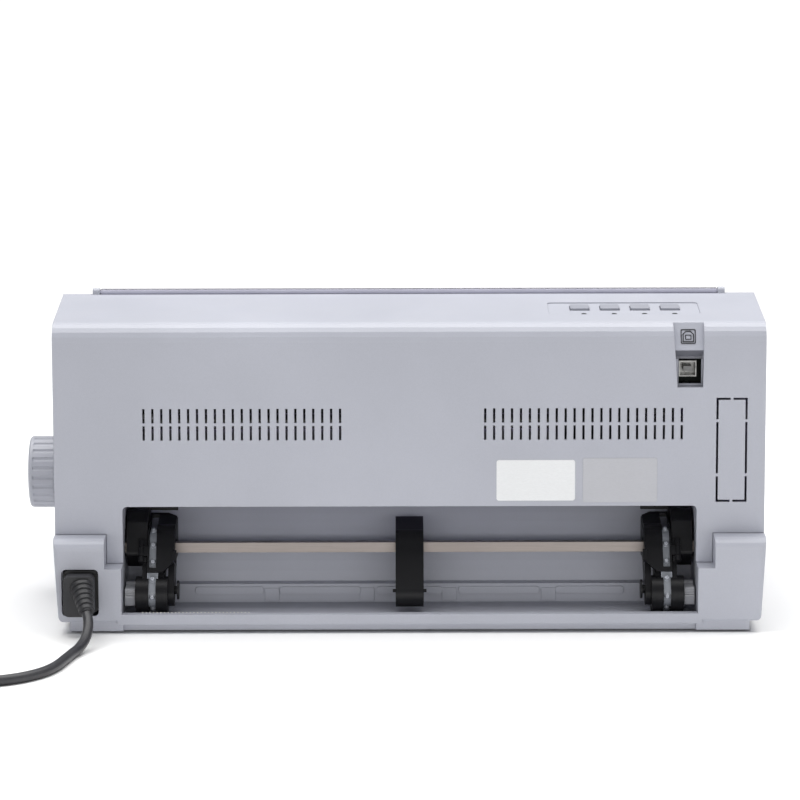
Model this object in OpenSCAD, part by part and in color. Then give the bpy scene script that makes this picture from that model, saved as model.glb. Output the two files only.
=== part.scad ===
// Wide flatbed dot matrix printer with a rear pin-belt tractor.
// X runs along the platen, the rear is +Y, and z = 0 is the desk under the feet.
// "right" is +X, which is the right-hand side seen from the front.

/* [Case] */
// Width of the case
body_w = 492; // [480:1:510]
// Depth of the case over its rear shoulders
body_d = 350; // [344:1:360]
// Depth of the shoulders behind the upper case
shoulder_d = 20; // [18:1:24]
// Height of the lower case's rim
rim_z = 66; // [62:0.5:68]
// Height of the rear crest
crest_z = 211.5; // [206:0.5:214]
// Height of the ridge at the cover's hinge
ridge_z = 222.5; // [219:0.5:226]
// Wall of the mouldings
wall = 3; // [2.5:0.1:3.5]
// Height of the case's underside
under_z = 8; // [7:0.5:8.5]
// Gap between the two cases
seam = 0.3; // [0.2:0.1:0.5]
// Rounding along the outer edges
edge_r = 4; // [3:0.5:6]
// Rounding of the rear crest
crest_r = 13; // [9:1:16]
// Radius of a rubber foot
foot_r = 11; // [9:0.5:13]
// Height of the foot blocks above the desk
foot_z = 1.5; // [1.25:0.25:3]

/* [Cover] */
// Width of the tinted cover
cover_w = 438; // [430:1:442]
// Thickness of the tinted cover
cover_t = 2.5; // [2:0.1:3]
// Radius of the cover's hinge pins
hinge_r = 1.6; // [1.2:0.1:1.8]

/* [Vents] */
// Slots in a row of a group
vent_cols = 23; // [12:1:26]
// Spacing of the slots
vent_pitch = 6.17; // [5:0.01:6.3]
// Width of a slot
vent_w = 1.6; // [1.2:0.1:2.5]
// Height of a slot
vent_h = 10; // [8:0.5:11]
// Width of the slits round the knock-out panel
slit_w = 1.5; // [1:0.1:2]

/* [Tractor bay] */
// Width of the bay
bay_w = 398; // [394:1:402]
// Height of the bay's upper edge
bay_top = 85.4; // [84:0.1:88]
// Height of the bay's floor
bay_floor = 10; // [9:0.5:10.5]
// Height of the rear rail
rail_z = 13.4; // [13:0.1:16]

/* [Paper feed] */
// Spacing of the pins on the belts
pin_pitch = 12.7; // [12.7]
// Pins round the drive hub
hub_pins = 6; // [6]
// Pins on a belt
belt_pins = 11; // [11]
// Radius of a pin
pin_r = 1.95; // [1.5:0.05:2]
// Across the flats of the square shaft
shaft_sq = 7; // [6:0.1:7.5]
// Radius of the guide rod
rod_r = 3; // [2.5:0.1:3.2]
// Radius of the platen shaft's journals
journal_r = 4; // [3.5:0.1:4.5]
// Length of the platen's rubber
platen_l = 406; // [400:1:408]
// Width of a pin belt
belt_w = 7.5; // [6.5:0.1:7.8]
// Free play of a running fit, on the radius
fit = 0.05; // [0.02:0.01:0.08]
// Clearance between moving pieces
gap = 0.4; // [0.3:0.05:0.5]

/* [Gears] */
// Teeth of the platen gear and of the tractor gear
roll_teeth = 36; // [36]
// Teeth of the feed gear between them
feed_teeth = 64; // [62:2:66]
// Teeth of the motor's pinion
pinion_teeth = 18; // [17:1:20]
// Face width of the gears
gear_w = 7; // [5:0.5:8]

/* [Controls] */
// Diameter of the platen knob
knob_d = 51.5; // [42:0.5:54]
// How far the knob stands out
knob_out = 27.7; // [24:0.1:34]
// Spacing of the buttons
button_pitch = 21.1; // [18:0.1:22]
// Length of a button along the printer
button_w = 13; // [10:0.5:14]
// Travel of a button
button_travel = 1; // [0.6:0.1:1.2]

/* [Printing] */
// Radius of the carriage rod
rail_r = 6; // [5:0.5:7]
// Width of the carriage
carriage_w = 70; // [60:1:80]
// Radius of the belt pulleys
pulley_r = 8; // [7:0.5:9]

/* [Cord] */
// Diameter of the mains lead
cord_d = 7; // [6.6:0.1:7]
// Spacing of the coiled turns
coil_pitch = 7.5; // [7.5:0.1:8]

/* [Hidden] */
$fn = 48;

case_grey = [0.68, 0.69, 0.73];
dark_grey = [0.36, 0.37, 0.4];
black = [0.09, 0.09, 0.1];
steel = [0.62, 0.61, 0.6];
bronze = [0.66, 0.5, 0.3];
nylon = [0.9, 0.89, 0.84];
board_green = [0.1, 0.36, 0.2];

// The case's main planes
half_w = body_w / 2;
half_d = body_d / 2;
rear_y = half_d - shoulder_d;
floor_top = under_z + wall;
ridge_y = rear_y - 93;
roof_slope = atan((ridge_z - crest_z) / (rear_y - ridge_y));
hood_front = ridge_y - 174;
hood_front_z = ridge_z - 64.5;
fascia_z = 112;
table_z = 98;
table_t = 3.2;
table_hw = bay_w / 2 + 10;
wing_hw = table_hw + 3;
bay_hw = bay_w / 2;
side_taper = 3.5;
inner_hw = half_w - wall - side_taper;

// The frame that carries the mechanism
frame_t = 1.6;
frame_x = half_w - 38.8;
plate_t = 1.5;
plate_top = floor_top + plate_t;
gear_x = frame_x + frame_t + 2.2;

// The paper's path: the hub's pitch circle sets the platen's radius too
pitch_r = hub_pins * pin_pitch / (2 * PI);
platen_r = pitch_r;
platen_y = 40;
platen_z = 90;
shaft_y = 130;
shaft_z = 52.2;
rod_y = 110;
rod_z = 48.2;

// The belt's loop: its idler lies where the loop takes a whole number of pins
idler_r = 9;
dr = pitch_r - idler_r;
belt_t = 1.2;
pin_h = 2.2;
loop_l = belt_pins * pin_pitch;
function reach(d, n) = n == 0 ? d
    : reach(sqrt(pow((loop_l - PI * (pitch_r + idler_r) - 2 * dr * asin(dr / d) * PI / 180) / 2, 2)
        + dr * dr), n - 1);
idler_d = reach(36, 6);
idler_dir = [0.599, -0.801];
idler_y = shaft_y + idler_d * idler_dir[0];
idler_z = shaft_z + idler_d * idler_dir[1];
// Angle of the straight run's outward normal, and the run's direction
run_a = atan2(idler_dir[1], idler_dir[0]) + acos(dr / idler_d);
run_n = [cos(run_a), sin(run_a)];
run_t = [sin(run_a), -cos(run_a)];
run_l = sqrt(idler_d * idler_d - dr * dr);

// Places across a tractor, measured from the middle of the printer at rest
belt_x = bay_hw - 20.2;
belt_hw = belt_w / 2;
plate_in = belt_x - belt_hw - gap;
plate_out = belt_x + belt_hw + gap;
tongue_x = [bay_hw - 35.3, bay_hw - 31];
lever_x = [bay_hw - 8.2, bay_hw - 1.3];

// Helpers ------------------------------------------------------------------------------------

// Unit vector
function unit(v) = v / norm(v);
// Points of an arc about c from angle a0 to a1 in n steps
function arc(c, r, a0, a1, n) = [for (i = [0:n]) let(a = a0 + (a1 - a0) * i / n)
    c + r * [cos(a), sin(a)]];
// The rounded corner at b between the neighbours a and c
function corner(a, b, c, r, n) = r <= 0 ? [b]
    : let(u = unit(a - b), v = unit(c - b), half = acos(u * v) / 2,
        m = b + unit(u + v) * r / sin(half),
        s = b + u * r / tan(half) - m, e = b + v * r / tan(half) - m,
        a0 = atan2(s[1], s[0]), turn = (atan2(e[1], e[0]) - a0 + 540) % 360 - 180)
        arc(m, r, a0, a0 + turn, n);
// An outline with rounded corners; r is one radius or a list of them
function rounded(p, r, n = 5) = let(k = len(p)) [for (i = [0:k - 1])
    each corner(p[(i + k - 1) % k], p[i], p[(i + 1) % k], is_list(r) ? r[i] : r, n)];
// Points of a curve from a to c, drawn towards b
function bend(a, b, c, n) = [for (i = [0:n]) let(t = i / n)
    (1 - t) * (1 - t) * a + 2 * t * (1 - t) * b + t * t * c];
function rect(x0, y0, x1, y1) = [[x0, y0], [x1, y0], [x1, y1], [x0, y1]];

// A box between two corners
module block(lo, hi) translate(lo) cube(hi - lo);
// An outline in the side view (y, z), from x0 to x1
module side(p, x0, x1) translate([x0, 0, 0]) rotate([90, 0, 90]) linear_extrude(x1 - x0) polygon(p);
// An outline in the rear view (x, z), from y0 to y1
module across(p, y0, y1) translate([0, y1, 0]) rotate([90, 0, 0]) linear_extrude(y1 - y0) polygon(p);
// An outline in the plan (x, y), from z0 to z1
module plan(p, z0, z1) translate([0, 0, z0]) linear_extrude(z1 - z0) polygon(p);
// A round bar along X at (y, z)
module bar(x0, x1, y, z, r, r2 = undef)
    translate([x0, y, z]) rotate([0, 90, 0]) cylinder(h = x1 - x0, r1 = r, r2 = is_undef(r2) ? r : r2);
// A round post along Z
module post(x, y, z0, z1, r) translate([x, y, z0]) cylinder(h = z1 - z0, r = r);
// Both sides of the printer: the children are drawn at +X
module both() {
    children();
    mirror([1, 0, 0]) children();
}

// A spur gear's outline about c in the side view, a tooth's middle at angle a0.
// Involute flanks at a 20 degree pressure angle, module 1, thinned for backlash.
backlash = 0.12;
function involute(rb, t) = rb * [cos(t) + t * PI / 180 * sin(t), sin(t) - t * PI / 180 * cos(t)];
function turned(p, a) = [p[0] * cos(a) - p[1] * sin(a), p[0] * sin(a) + p[1] * cos(a)];
function gear(c, teeth, a0) = let(rp = teeth / 2, rb = rp * cos(20), ra = rp + 1, rf = rp - 1.25,
    t0 = rf > rb ? acos(1) + sqrt(pow(rf / rb, 2) - 1) * 180 / PI : 0,
    t1 = sqrt(pow(ra / rb, 2) - 1) * 180 / PI,
    ap = sqrt(pow(rp / rb, 2) - 1) * 180 / PI - 20,
    half = 90 / teeth - backlash / 2 / rp * 180 / PI + ap,
    flank = [for (i = [0:4]) involute(rb, t0 + (t1 - t0) * i / 4)],
    side_a = [for (p = flank) turned(p, -half)],
    side_b = [for (i = [4:-1:0]) [side_a[i][0], -side_a[i][1]]],
    root = rf > rb ? [] : [rf * unit(side_a[0])],
    tooth = concat(root, side_a, side_b, [for (p = root) [p[0], -p[1]]]))
    [for (i = [0:teeth - 1]) each [for (p = tooth) c + turned(p, a0 + 360 * i / teeth)]];
// The angle of a meshing gear's first tooth: gear 1 has a tooth at a1, and phi points from 1 to 2
function mesh(a1, n1, n2, phi) = phi + 180 - (0.5 - (phi - a1) * n1 / 360) * 360 / n2;

// The gear train: platen gear - feed gear - tractor gear, and the pinion on the feed gear
feed_c = (roll_teeth + feed_teeth) / 2;
span = [shaft_y - platen_y, shaft_z - platen_z];
drop = sqrt(feed_c * feed_c - span * span / 4);
feed_at = [platen_y, platen_z] + span / 2 + [span[1], -span[0]] / norm(span) * drop;
pinion_dir = 215;
pinion_at = feed_at + (feed_teeth + pinion_teeth) / 2 * [cos(pinion_dir), sin(pinion_dir)];
platen_a = 0;
to_feed = feed_at - [platen_y, platen_z];
feed_a = mesh(platen_a, roll_teeth, feed_teeth, atan2(to_feed[1], to_feed[0]));
to_shaft = [shaft_y, shaft_z] - feed_at;
tractor_a = mesh(feed_a, feed_teeth, roll_teeth, atan2(to_shaft[1], to_shaft[0]));
pinion_a = mesh(feed_a, feed_teeth, pinion_teeth, pinion_dir);

// Height of the roof's rear slope at y
function roof(y) = crest_z + (rear_y - y) * tan(roof_slope);

// Case ---------------------------------------------------------------------------------------

screw_at = [[half_w - 14, -half_d + 25], [half_w - 14, 8]];
inlet_x = half_w - 18.5;
inlet_z = 28.9;
inlet_hole = [25.4, 32.7];
switch_x = half_w - 32;
switch_z = 40;

// The bay's wall, floor and rail, front to back, seen from the side
ledge_h = 13.2;
ledge = [[rear_y - 36, bay_floor + ledge_h], [rear_y - 43, bay_floor + ledge_h + 0.6]];
wall_top = [rear_y - 71, 74];
wall_curve = bend(ledge[1], [rear_y - 51, 52], wall_top, 8);
bay_line = concat([[half_d, under_z - 1.6], [half_d, rail_z], [half_d - 7, rail_z],
    [half_d - 7.4, bay_floor], [ledge[0][0], bay_floor], ledge[0]], wall_curve,
    [for (i = [8:-1:0]) wall_curve[i] - [wall, 1]],
    [[ledge[0][0] - wall, bay_floor + ledge_h - wall], [ledge[0][0] - wall, bay_floor - wall],
    [half_d - 11, bay_floor - wall], [half_d - 11, foot_z], [half_d - 5, foot_z],
    [half_d - 5, under_z - 1.6]]);

module lower_outer() intersection() {
    side(rounded(rect(-half_d, under_z, half_d, rim_z), [edge_r, 2, 8, 0]), -half_w, half_w);
    across(rounded([[-half_w + side_taper, under_z], [half_w - side_taper, under_z],
        [half_w, rim_z], [-half_w, rim_z]], [edge_r, edge_r, 0, 0]), -half_d, half_d);
    plan(rounded(rect(-half_w, -half_d, half_w, half_d), edge_r), under_z, rim_z);
}

// The steps beside the bay, down to which the upper case's wall reaches
step_x = half_w - 35.4;
step_z = 45.3;

module lower_case() color(case_grey) {
    difference() {
        union() {
            difference() {
                lower_outer();
                // The hollow pan, the shoulders and the lower steps beside the bay
                block([-inner_hw, -half_d + wall, floor_top], [inner_hw, rear_y - wall, rim_z + 1]);
                both() block([step_x + wall, rear_y - 5, floor_top],
                    [inner_hw, half_d - wall, rim_z - wall]);
                both() block([bay_hw + wall, rear_y - 5, floor_top],
                    [step_x + wall + 1, half_d - wall, step_z - wall]);
                both() block([bay_hw - 1, rear_y - wall - seam, step_z], [step_x, half_d + 1, rim_z + 1]);
                block([-bay_hw, ledge[0][0] - wall, 0], [bay_hw, half_d + 1, rim_z + 1]);
            }
            side(bay_line, -bay_hw - wall, bay_hw + wall);
            both() side([[half_d - 1, bay_floor - wall], [half_d - 1, step_z],
                [rear_y - wall - seam, step_z], [rear_y - wall - seam, rim_z - seam],
                [wall_top[0] + 3, rim_z - seam], [ledge[1][0] - wall, bay_floor + ledge_h + 1],
                [ledge[1][0] - wall, bay_floor - wall]], bay_hw, bay_hw + wall);
            // Foot blocks and the columns of the case screws
            both() for (y = [-half_d + 14, rear_y - 10]) block([bay_hw - 1, y, foot_z],
                [half_w - 11, y + (y > 0 ? 28 : 30), under_z + 1]);
            both() for (p = screw_at) post(p[0] - 3, p[1], under_z, rim_z - 1, 5.5);
            // Raised bars and pads on the bay's wall
            for (b = [[-127, 48], [-63, 57], [0, 46], [63, 57], [127, 48]])
                across(rounded(rect(b[0] - b[1] / 2, bay_floor + ledge_h - 7.3, b[0] + b[1] / 2,
                    bay_floor + ledge_h - 2), 2), ledge[0][0] - 1, ledge[0][0] + 1.2);
            for (x = [-98, -28, 30, 97])
                block([x - 5, ledge[0][0] - 1, bay_floor + 1],
                    [x + 5, ledge[0][0] + 0.8, bay_floor + ledge_h - 3]);
        }
        // The mains inlet's hole in the right shoulder
        across(rounded(rect(inlet_x - inlet_hole[0] / 2, inlet_z - inlet_hole[1] / 2,
            inlet_x + inlet_hole[0] / 2, inlet_z + inlet_hole[1] / 2), 3), half_d - 6, half_d + 1);
        // The power switch's hole at the front
        across(rect(switch_x - switch_hole[0] / 2, switch_z - switch_hole[1] / 2,
            switch_x + switch_hole[0] / 2, switch_z + switch_hole[1] / 2), -half_d - 1, -half_d + 5);
        // The square shaft and the guide rod pass the bay's cheeks
        both() bar(bay_hw - 1, bay_hw + wall + 1, shaft_y, shaft_z, 7);
        both() bar(bay_hw - 1, bay_hw + wall + 1, rod_y, rod_z, rod_r + gap);
        both() for (p = screw_at) post(p[0] - 3, p[1], under_z - 1, under_z + 5, 4.2);
        both() for (p = screw_at) post(p[0] - 3, p[1], under_z, rim_z, 2.3);
        foot_seats();
    }
}

foot_x = bay_hw + 17;
foot_y = [-half_d + 32, rear_y - 14 + 1];
module foot_seats() both() for (y = foot_y) post(foot_x, y, foot_z - 1, foot_z + 1.5, foot_r);

module rubber_feet() color(black) both() for (y = foot_y) {
    post(foot_x, y, 1, foot_z + 1.5, foot_r);
    translate([foot_x, y, 0]) cylinder(h = 1, r1 = foot_r - 1, r2 = foot_r);
}

module case_screws() color(steel) both() for (p = screw_at) difference() {
    union() {
        post(p[0] - 3, p[1], under_z + 2, under_z + 5, 3.8);
        post(p[0] - 3, p[1], under_z + 4, rim_z + 20, 2);
    }
    for (a = [0, 90]) translate([p[0] - 3, p[1], under_z + 2]) rotate(a) cube([4, 0.8, 2], center = true);
}

// Side views of the hood and of the apron in front of it
hood_low = rim_z - 2 * wall;
hood = rounded([[rear_y, hood_low], [rear_y, crest_z], [ridge_y, ridge_z],
    [hood_front, hood_front_z], [hood_front - 24, fascia_z], [hood_front - 24, hood_low]],
    [0, crest_r, 6, 14, 3, 0]);
apron = rounded([[hood_front, hood_low], [hood_front, fascia_z], [hood_front - 24, fascia_z],
    [-half_d + 3, fascia_z - 8], [-half_d, hood_low]], [0, 0, 3, 6, 0]);
panel_x = [-97.4, -203];
panel_y = [90.5, 124];
button_y = 104.5;
led_y = 120.5;
lamp_r = 2;
usb_x = -192.6;
usb_top = [-182, -203.2];
usb_low = [-185, -202.6];
usb_z = [168.3, 188.4];

// A rounded slab: the outline is inset towards both ends, so that its long edges are round
module soft_slab(p, hw) hull() for (k = [0, 1, 2]) let(a = 45 * k, e = edge_r * (1 - sin(a)))
    side_solid(p, -hw + edge_r - edge_r * cos(90 - a), e);
module side_solid(p, x0, inset) translate([x0, 0, 0]) rotate([90, 0, 90])
    linear_extrude(-2 * x0) offset(delta = -inset) polygon(p);

module shell(p) difference() {
    intersection() {
        soft_slab(p, half_w);
        // The lower edge stays sharp at the seam
        block([-half_w, -half_d - 1, rim_z + seam], [half_w, half_d, ridge_z + 9]);
    }
    translate([-half_w + wall, 0, 0]) rotate([90, 0, 90]) linear_extrude(body_w - 2 * wall)
        offset(delta = -wall) polygon(p);
}

// Places the children on the roof's rear slope at y, with local z out of the roof
module on_roof(y) translate([0, y, roof(y)]) rotate([-roof_slope, 0, 0]) children();

// The USB port's recess: a deep lower well, and a slanted face across the crest above it.
// grow widens it to the outside of its walls.
usb_depth = 10;
module usb_recess(grow) intersection() {
    across([[usb_top[1] - grow, ridge_z], [usb_top[0] + grow, ridge_z], [usb_top[0] + grow, crest_z],
        [usb_low[0] + grow, usb_z[0] - grow], [usb_low[1] - grow, usb_z[0] - grow],
        [usb_top[1] - grow, crest_z]], rear_y - 20, rear_y + 1);
    side([[rear_y + 1, usb_z[0] - grow], [rear_y - usb_depth - grow, usb_z[0] - grow],
        [rear_y - usb_depth - grow, usb_z[1] + grow], [rear_y - 2 - grow, usb_z[1] + 5.6 + grow],
        [rear_y - 9.4 - grow, crest_z + 1.2], [rear_y - 9.4 - grow, ridge_z], [rear_y + 1, ridge_z]],
        usb_top[1] - 9, usb_top[0] + 9);
}

module vents() for (x0 = [47.8, -52.4 - (vent_cols - 1) * vent_pitch], z = [144, 132])
    for (i = [0:vent_cols - 1]) block([x0 + i * vent_pitch - vent_w / 2, rear_y - wall - 1, z],
        [x0 + i * vent_pitch + vent_w / 2, rear_y + 1, z + vent_h]);

module knock_out() {
    x = [-212, -233.5];
    z = [88, 161];
    bridge = 2;
    for (e = [z[0], z[1] - slit_w], s = [[x[1], -222.7 - bridge / 2], [-222.7 + bridge / 2, x[0]]])
        block([s[0], rear_y - wall - 1, e], [s[1], rear_y + 1, e + slit_w]);
    for (e = [x[1], x[0] - slit_w], s = [[z[0], 106], [106 + bridge, 144], [144 + bridge, z[1]]])
        block([e, rear_y - wall - 1, s[0]], [e + slit_w, rear_y + 1, s[1]]);
}

// A stadium-shaped hood slot is open under the fascia and round the paper table
module paper_slot() {
    block([-wing_hw, -half_d - 1, table_z - table_t - seam], [wing_hw, hood_front + 6, fascia_z]);
    block([-wing_hw, -half_d - 1, fascia_z - 1], [wing_hw, hood_front - 24 - 0.01, fascia_z + 20]);
}

module upper_case() color(case_grey) difference() {
    union() {
        difference() {
            union() {
                shell(hood);
                difference() {
                    shell(apron);
                    // Where hood and apron meet, the hollow runs through
                    block([-half_w + wall, hood_front - 24 - 0.5, 0],
                        [half_w - wall, hood_front + wall, fascia_z - wall]);
                }
            }
            block([-half_w + wall, hood_front - 26, rim_z - 1],
                [half_w - wall, hood_front + 3, fascia_z - wall]);
            // The cover's opening, the paper slot and the bay
            block([-cover_w / 2 + 2, hood_front + 8, fascia_z + 10],
                [cover_w / 2 - 2, ridge_y - 6, ridge_z + 20]);
            paper_slot();
            block([-bay_hw, rear_y - 10, rim_z - 1], [bay_hw, rear_y + 1, bay_top - 3]);
            across(rounded(rect(-bay_hw, rim_z - 10, bay_hw, bay_top), 3), rear_y - 10, rear_y + 1);
        }
        // The bay's roof and cheeks
        block([-bay_hw - wall, rear_y - 60, bay_top], [bay_hw + wall, rear_y - 1, bay_top + 2.5]);
        both() side([[rear_y - 1, rim_z + seam], [rear_y - 1, bay_top + 1], [rear_y - 60, bay_top + 1],
            [rear_y - 60, rim_z + seam]], bay_hw, bay_hw + wall);
        // Beside the bay the rear wall reaches down to the steps
        both() block([bay_hw, rear_y - wall, step_z + seam], [step_x - seam, rear_y, rim_z + 5]);
        // The walls round the USB port's recess
        intersection() {
            usb_recess(2);
            side(hood, usb_top[1] - 9, usb_top[0] + 9);
        }
        // Columns for the case screws and posts of the panel board
        both() for (p = screw_at) difference() {
            union() {
                post(p[0] - 3, p[1], rim_z + seam, rim_z + 26, 5.5);
                block([p[0] - 3, p[1] - 1, rim_z + seam], [half_w - wall + 0.5, p[1] + 1, rim_z + 26]);
            }
            post(p[0] - 3, p[1], rim_z, rim_z + 24, 2);
        }
        on_roof(107) for (x = [panel_x[0] - 4, panel_x[1] + 4]) translate([x, 0, -8]) cylinder(h = 6, r = 3);
        // Hinge lugs beside the cover
        both() bar(cover_w / 2 + 1, cover_w / 2 + 6, hinge_y, hinge_z, lug_r);
        both() block([cover_w / 2 + 1, hinge_y - lug_r, ridge_z - 6],
            [cover_w / 2 + 6, hinge_y + lug_r, hinge_z]);
    }
    vents();
    knock_out();
    usb_recess(0);
    both() bar(cover_w / 2, cover_w / 2 + 4.5, hinge_y, hinge_z, hinge_r + fit);
    bar(half_w - wall - 1, half_w + 1, platen_y, platen_z, 7);
    // The cover's rear knuckle turns in a groove
    bar(-cover_w / 2 - gap, cover_w / 2 + gap, hinge_y, hinge_z, knuckle_r + gap);
    block([-cover_w / 2 - gap, ridge_y - 7, hinge_z - 1], [cover_w / 2 + gap, hinge_y, hinge_z + 9]);
    // The control field is a shallow recess with holes for buttons and lamps
    on_roof(button_y) {
        translate([panel_x[1], panel_y[0] - button_y, -0.7])
            linear_extrude(3) polygon(rounded(rect(0, 0, panel_x[0] - panel_x[1],
                panel_y[1] - panel_y[0]), 3));
        for (i = [0:3]) translate([button_x(i), 0, -4]) linear_extrude(6)
            square([button_w + 2 * gap, button_w - 1 + 2 * gap], center = true);
        for (i = [0:3]) translate([button_x(i) - 2.5, led_y - button_y, -4]) cylinder(h = 6, r = lamp_r);
    }
    // The wide opening that the socket stands in
    block([usb_low[1] + 0.6, rear_y - usb_depth - 3, usb_z[0] + 1.3],
        [usb_low[0] - 1.3, rear_y - usb_depth + 1, usb_z[1] - 1.5]);
}

function button_x(i) = -119.5 - button_pitch * i;

knuckle_r = 2.4;
lug_r = hinge_r + fit + 1.05;
hinge_y = ridge_y;
hinge_z = ridge_z + 1.3;

// The tinted cover: a shallow channel that hangs on two pins
module top_cover() color([0.25, 0.24, 0.36, 0.6]) {
    hw = cover_w / 2;
    front = [hood_front - 1, hood_front_z + 3.7];
    sheet = concat([[hinge_y, hinge_z + cover_t / 2]],
        bend([hinge_y - 10, hinge_z - 0.4], [(hinge_y + front[0]) / 2, (hinge_z + front[1]) / 2 + 9],
            front, 10),
        [front + [-1.5, -2.5], front + [-0.9, -5.2], front + [0.5, -4.4], front + [1.2, -cover_t]],
        [for (p = bend(front + [3, -cover_t], [(hinge_y + front[0]) / 2,
            (hinge_z + front[1]) / 2 + 9 - cover_t], [hinge_y - 10, hinge_z - 0.4 - cover_t], 10)) p],
        [[hinge_y, hinge_z - cover_t / 2]]);
    difference() {
        union() {
            side(sheet, -hw, hw);
            bar(-hw, hw, hinge_y, hinge_z, knuckle_r - 0.2);
        }
        // The cover lies lower than the hood's edge at its sides
        for (s = [-1, 1]) translate([s * hw, hinge_y - 90, hinge_z]) rotate([20.3, 0, 0])
            rotate([0, s * 45, 0]) cube([2.4, 260, 2.4], center = true);
    }
    both() bar(hw - 1, hw + 4, hinge_y, hinge_z, hinge_r);
}

// Paper path ---------------------------------------------------------------------------------

// The front table: a plate with ribs below and a rounded front edge
module paper_table() color(case_grey) {
    z = table_z;
    back_y = platen_y - platen_r - 2;
    frame_front = -half_d + 86;
    difference() {
        side(rounded([[-half_d + 2, z - table_t], [back_y, z - table_t], [back_y, z],
            [-half_d + 2, z], [-half_d - 1, z - 2.5]], [0, 0, 0, 3, 1]), -table_hw, table_hw);
        // Between the side frames the table is narrower
        both() block([frame_x - 0.3, frame_front - 0.3, z - 9], [table_hw + 1, back_y + 1, z + 1]);
    }
    for (x = [-180:36:180]) block([x - 1, -half_d + 9, z - table_t - 5], [x + 1, back_y, z - table_t]);
    // Low ribs that the paper slides on
    for (x = [-190:20:190]) if (abs(x) < table_hw - 8)
        across(rounded(rect(x - 1.2, z - 1, x + 1.2, z + 0.8), 0.7, 3), -half_d + 8, back_y - 6);
    both() block([frame_x - 2.3, -half_d + 40, z - table_t - 9], [frame_x - 0.3, back_y - 20, z - table_t]);
}

// The edge guide slides along the table's front rib
module table_guide() color(dark_grey) translate([guide_x, 0, 0]) {
    z = table_z + 0.8 + gap;
    block([-1.5, -half_d + 12, z], [1.5, hood_front - 36, z + 7]);
    block([-14, -half_d + 12, z], [14, -half_d + 24, z + 1.6]);
    difference() {
        block([-14, -half_d - 5, z], [14, -half_d + 13, z + 2.4]);
        for (x = [-8, -4, 0, 4, 8]) block([x - 0.6, -half_d - 6, z + 1.8], [x + 0.6, -half_d + 9, z + 3]);
    }
    block([-14, -half_d - 5, table_z - table_t - 3.4], [14, -half_d - 2, z + 1]);
}
guide_x = -185;

// The steel guide that leads the paper from the bay up to the platen
module rear_guide() color(steel) {
    lip = wall_top + [-4, 1.4];
    pts = concat([lip], bend(lip + [-8, 10], [platen_y + 26, table_z - 0.5],
        [platen_y + platen_r + 2.2, table_z + 1], 5));
    both_pts = concat(pts, [for (i = [len(pts) - 1:-1:0]) pts[i] - [0.6, 1.4]]);
    side(both_pts, -bay_hw - 2, bay_hw + 2);
    // Two flanges reach down to the side frames
    both() block([frame_x - 11, platen_y + 24, table_z - 14], [frame_x - 9.6, platen_y + 38, table_z - 5]);
    both() block([frame_x - 11, platen_y + 24, table_z - 14], [frame_x, platen_y + 38, table_z - 12.6]);
}

// Frames -------------------------------------------------------------------------------------

module base_plate() color(steel) difference() {
    union() {
        block([-frame_x - frame_t, -half_d + 40, floor_top],
            [frame_x + frame_t, ledge[1][0] - wall - 1, plate_top]);
        for (p = [[-180, -140], [20, -140], [-180, -20], [20, -20]]) post(p[0], p[1] + 12, plate_top - 0.5, 20, 3);
        for (p = [[72, -128], [172, -128], [72, -38], [172, -38]]) post(p[0], p[1], plate_top - 0.5, 20, 3);
    }
    for (x = [-150:60:150], y = [30, 60]) post(x, y, floor_top - 1, plate_top + 1, 9);
}

frame_line = [[-half_d + 86, plate_top], [rear_y - 14, plate_top], [rear_y - 14, 68],
    [rear_y - 26, 150], [hood_front + 54, 150], [hood_front + 26, 118], [-half_d + 86, 92]];

module side_frame(s) {
    difference() {
        union() {
            side(rounded(frame_line, [0, 0, 6, 10, 10, 6, 6]), frame_x, frame_x + frame_t);
            // The foot flange and the tab under the ribbon cartridge
            block([frame_x - 10, -half_d + 86, plate_top],
                [frame_x + frame_t, ledge[0][0] - 12, plate_top + frame_t]);
            block([frame_x - 14, cart_y[0] + 12, cart_z - frame_t],
                [frame_x + 0.1, cart_y[0] + 34, cart_z]);
            if (s > 0) bar(frame_x + frame_t, gear_x + gear_w + 1.5, feed_at[0], feed_at[1], 4);
            if (s > 0) bar(frame_x + frame_t, gear_x - 0.3, feed_at[0], feed_at[1], 7);
            // The bracket and stud of the carriage belt's idler
            if (s > 0) block([idler_cx - 9, cbelt_y - 9, belt_z - 8], [frame_x + 0.1, cbelt_y + 9, belt_z - 6]);
            if (s > 0) post(idler_cx, cbelt_y, belt_z - 7, belt_z + 7, 3);
        }
        bar(frame_x - 1, frame_x + 2, platen_y, platen_z, journal_r + 3);
        bar(frame_x - 1, frame_x + 2, shaft_y, shaft_z, shaft_sq / 2 + 2.5);
        bar(frame_x - 1, frame_x + 2, rod_y, rod_z, rod_r);
        bar(frame_x - 1, frame_x + 2, crod_y, crod_z, rail_r);
        if (s > 0) bar(frame_x - 1, frame_x + 2, pinion_at[0], pinion_at[1], 11);
        // Lightening holes
        bar(frame_x - 1, frame_x + 2, -30, 52, 20);
        bar(frame_x - 1, frame_x + 2, -18, 122, 6);
    }
}
module side_frame_right() color(steel) side_frame(1);
module side_frame_left() color(steel) mirror([1, 0, 0]) side_frame(-1);

module platen() color(black) difference() {
    bar(-platen_l / 2, platen_l / 2, platen_y, platen_z, platen_r);
    bar(-platen_l / 2 - 1, platen_l / 2 + 1, platen_y, platen_z, 6);
}

module platen_shaft() color(steel) {
    bar(-platen_l / 2 - 0.8, platen_l / 2 + 0.8, platen_y, platen_z, 6);
    bar(-frame_x - 6, half_w + knob_out - 10, platen_y, platen_z, journal_r);
}

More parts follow.
